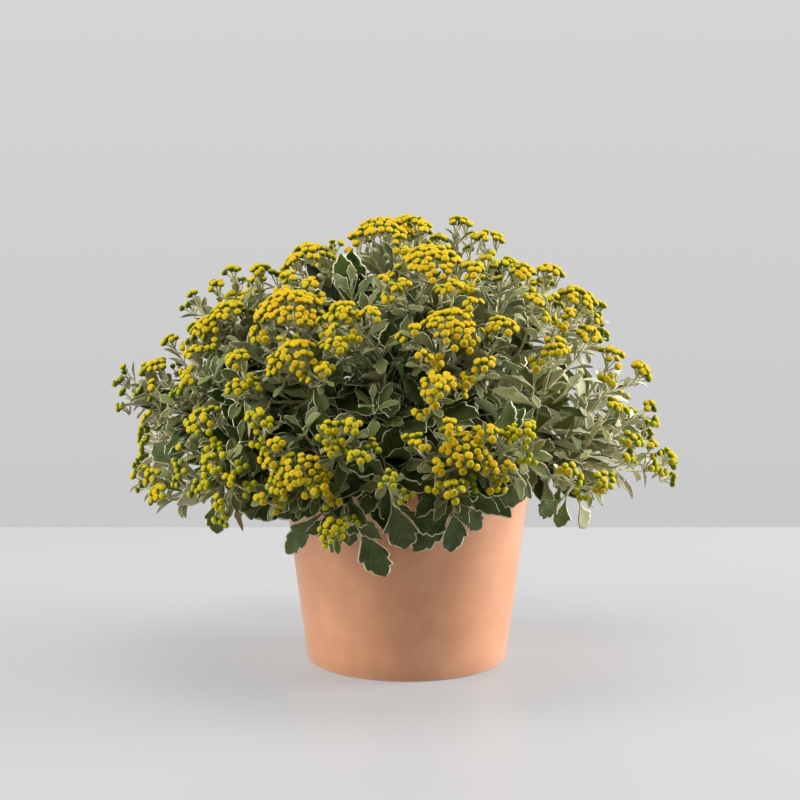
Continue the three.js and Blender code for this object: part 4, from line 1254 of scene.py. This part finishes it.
for stem in stems:
    store = {"places": [], "way": [], "face": [], "size": [], "kind": [], "grey": []}
    number = stem["number"]
    leaved = LEAVED.get(number, FULL)
    sparse, felted, slender, longest = leaved
    upper = (sparse, felted + 0.2, slender - 0.03, longest)
    down_branch = (SMALL, MIDDLE, MIDDLE) if leaved == FINE else (SMALL, MIDDLE, BROAD)
    for i, (base, end, width) in enumerate(stem["show"]):
        way = (end - base).normalized()
        face, length = facing(end) + UP * 0.2, (end - base).length
        leaf_at(store, base, way, face, length, width * 1.15, HANGING[i % 2], 0.12)
    for b, branch in enumerate(stem["branches"]):
        key = 1000 * number + 100 * b
        spiral(store, branch, LEAF_PITCH, LEAF_SHORTEST, 26, (42, 68), key, down_branch, leaved)
    for b, shoot in enumerate(stem["shoots"]):
        key = 30000 + 1000 * number + 100 * b
        groups = (SMALL, MIDDLE, MIDDLE, BROAD)
        spiral(store, shoot, LEAF_PITCH, 13, 44, (25, 60), key, groups, leaved)
    spiral(store, stem["trunk"], 4, 38, 20, (50, 70), 50000 + 1000 * number, (BROAD,), (1, 0, 0.36, 44))
    for b, spray in enumerate(stem["own"]):
        stalk = [spray["foot"], spray["spots"][0]["neck"]]
        key = 80000 + 1000 * number + 100 * b
        spiral(store, stalk, 2.8, 11, 90, (30, 50), key, (BRACT_LEAF, SMALL), upper)
        for k, spot in enumerate(spray["spots"][1:]):
            key = 90000 + 1000 * number + 100 * b + 10 * k
            spiral(store, spot["arc"], 3.6, 10, 70, (30, 55), key, (BRACT_LEAF, SMALL), upper)
    leaves = cloud(f"leaves_{number:02d}", store.pop("places"), **store)
    grow(leaves, leaves_tree, {"Leaves": leaf_kinds, "Roll": 0.35, "Seed": number, "Finish": leaf})
    tidy(leaves, "way", "face", "size", "kind")
    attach(leaves, "root")
    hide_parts(f"leafy_stem_{number:02d}")


# Floor and light
# A pale table top under the pot that glows evenly though it is no lamp, a painted light lifting its shadows.
# A tall soft lamp stands on either side, the right one stronger, with a weak one above.
FLOOR_HALF = 378
FLOOR_PALE = "#818182"
FLOOR_GLOW = 0.325
BACKDROP = "#d5d5d6"
BACKDROP_LOW = 0.88
GLOW_BEHIND = 0.85
GLOW_BEFORE = 0.1
LAMPS = [
    ("right_softbox", (1500, 120, 720), (0.8, 1.4), 44),
    ("left_softbox", (-1450, -390, 720), (0.8, 1.4), 26),
    ("top_softbox", (0, -100, 1900), (1.2, 1.2), 20),
]

# Pale grey and slightly glossy table, with an even painted glow that lightens the shadows on it
glowing_table_finish, tree, shader = new_material(
    "opal_acrylic_sheet", Roughness=0.42, Emission_Strength=FLOOR_GLOW, Specular_IOR_Level=0.2
)
shader.inputs["Base Color"].default_value = linear(FLOOR_PALE)
shader.inputs["Emission Color"].default_value = linear("#ffffff")
h = FLOOR_HALF
floor = new_piece("table_top", [(-h, -h, 0), (h, -h, 0), (h, h, 0), (-h, h, 0)], [(0, 1, 2, 3)], glowing_table_finish)

for name, place, size, power in LAMPS:
    lamp_data = bpy.data.lights.new(name, "AREA")
    lamp_data.shape = "RECTANGLE"
    lamp_data.size, lamp_data.size_y = size
    lamp_data.energy = power
    lamp = bpy.data.objects.new(name, lamp_data)
    lamp.location = Vector(place) * MM
    lamp.rotation_euler = (Vector((0, 0, 130)) - Vector(place)).to_track_quat("-Z", "Y").to_euler()
    scene.collection.objects.link(lamp)

# The wall is a little darker towards the table. What lights the plant is bright behind it and
# dark on the camera's side.
world = bpy.data.worlds.new("studio")
world.use_nodes = True
tree = world.node_tree
way = add_node(tree, "ShaderNodeTexCoord").outputs["Generated"]
parts = add_node(tree, "ShaderNodeSeparateXYZ", {"Vector": way})
lower = add_node(
    tree,
    "ShaderNodeMapRange",
    {"Value": parts.outputs["Z"], "From Min": -0.2, "From Max": 0.0, "To Min": BACKDROP_LOW, "To Max": 1.0},
)
wall = add_node(
    tree, "ShaderNodeBackground", {"Color": linear(BACKDROP), "Strength": lower.outputs["Result"]}
)
depth = add_node(
    tree,
    "ShaderNodeMapRange",
    {
        "Value": parts.outputs["Y"], "From Min": -0.4, "From Max": 0.6, "To Min": GLOW_BEFORE,
        "To Max": GLOW_BEHIND,
    },
)
glow = add_node(
    tree, "ShaderNodeBackground", {"Color": linear(BACKDROP), "Strength": depth.outputs["Result"]}
)
seen = add_node(tree, "ShaderNodeLightPath").outputs["Is Camera Ray"]
mixed = add_node(
    tree, "ShaderNodeMixShader", {0: seen, 1: glow.outputs["Background"], 2: wall.outputs["Background"]}
)
tree.links.new(mixed.outputs["Shader"], tree.nodes["World Output"].inputs["Surface"])
scene.world = world

for helper in [crumb] + list(head_kinds.objects) + list(leaf_kinds.objects):
    bpy.data.objects.remove(helper)
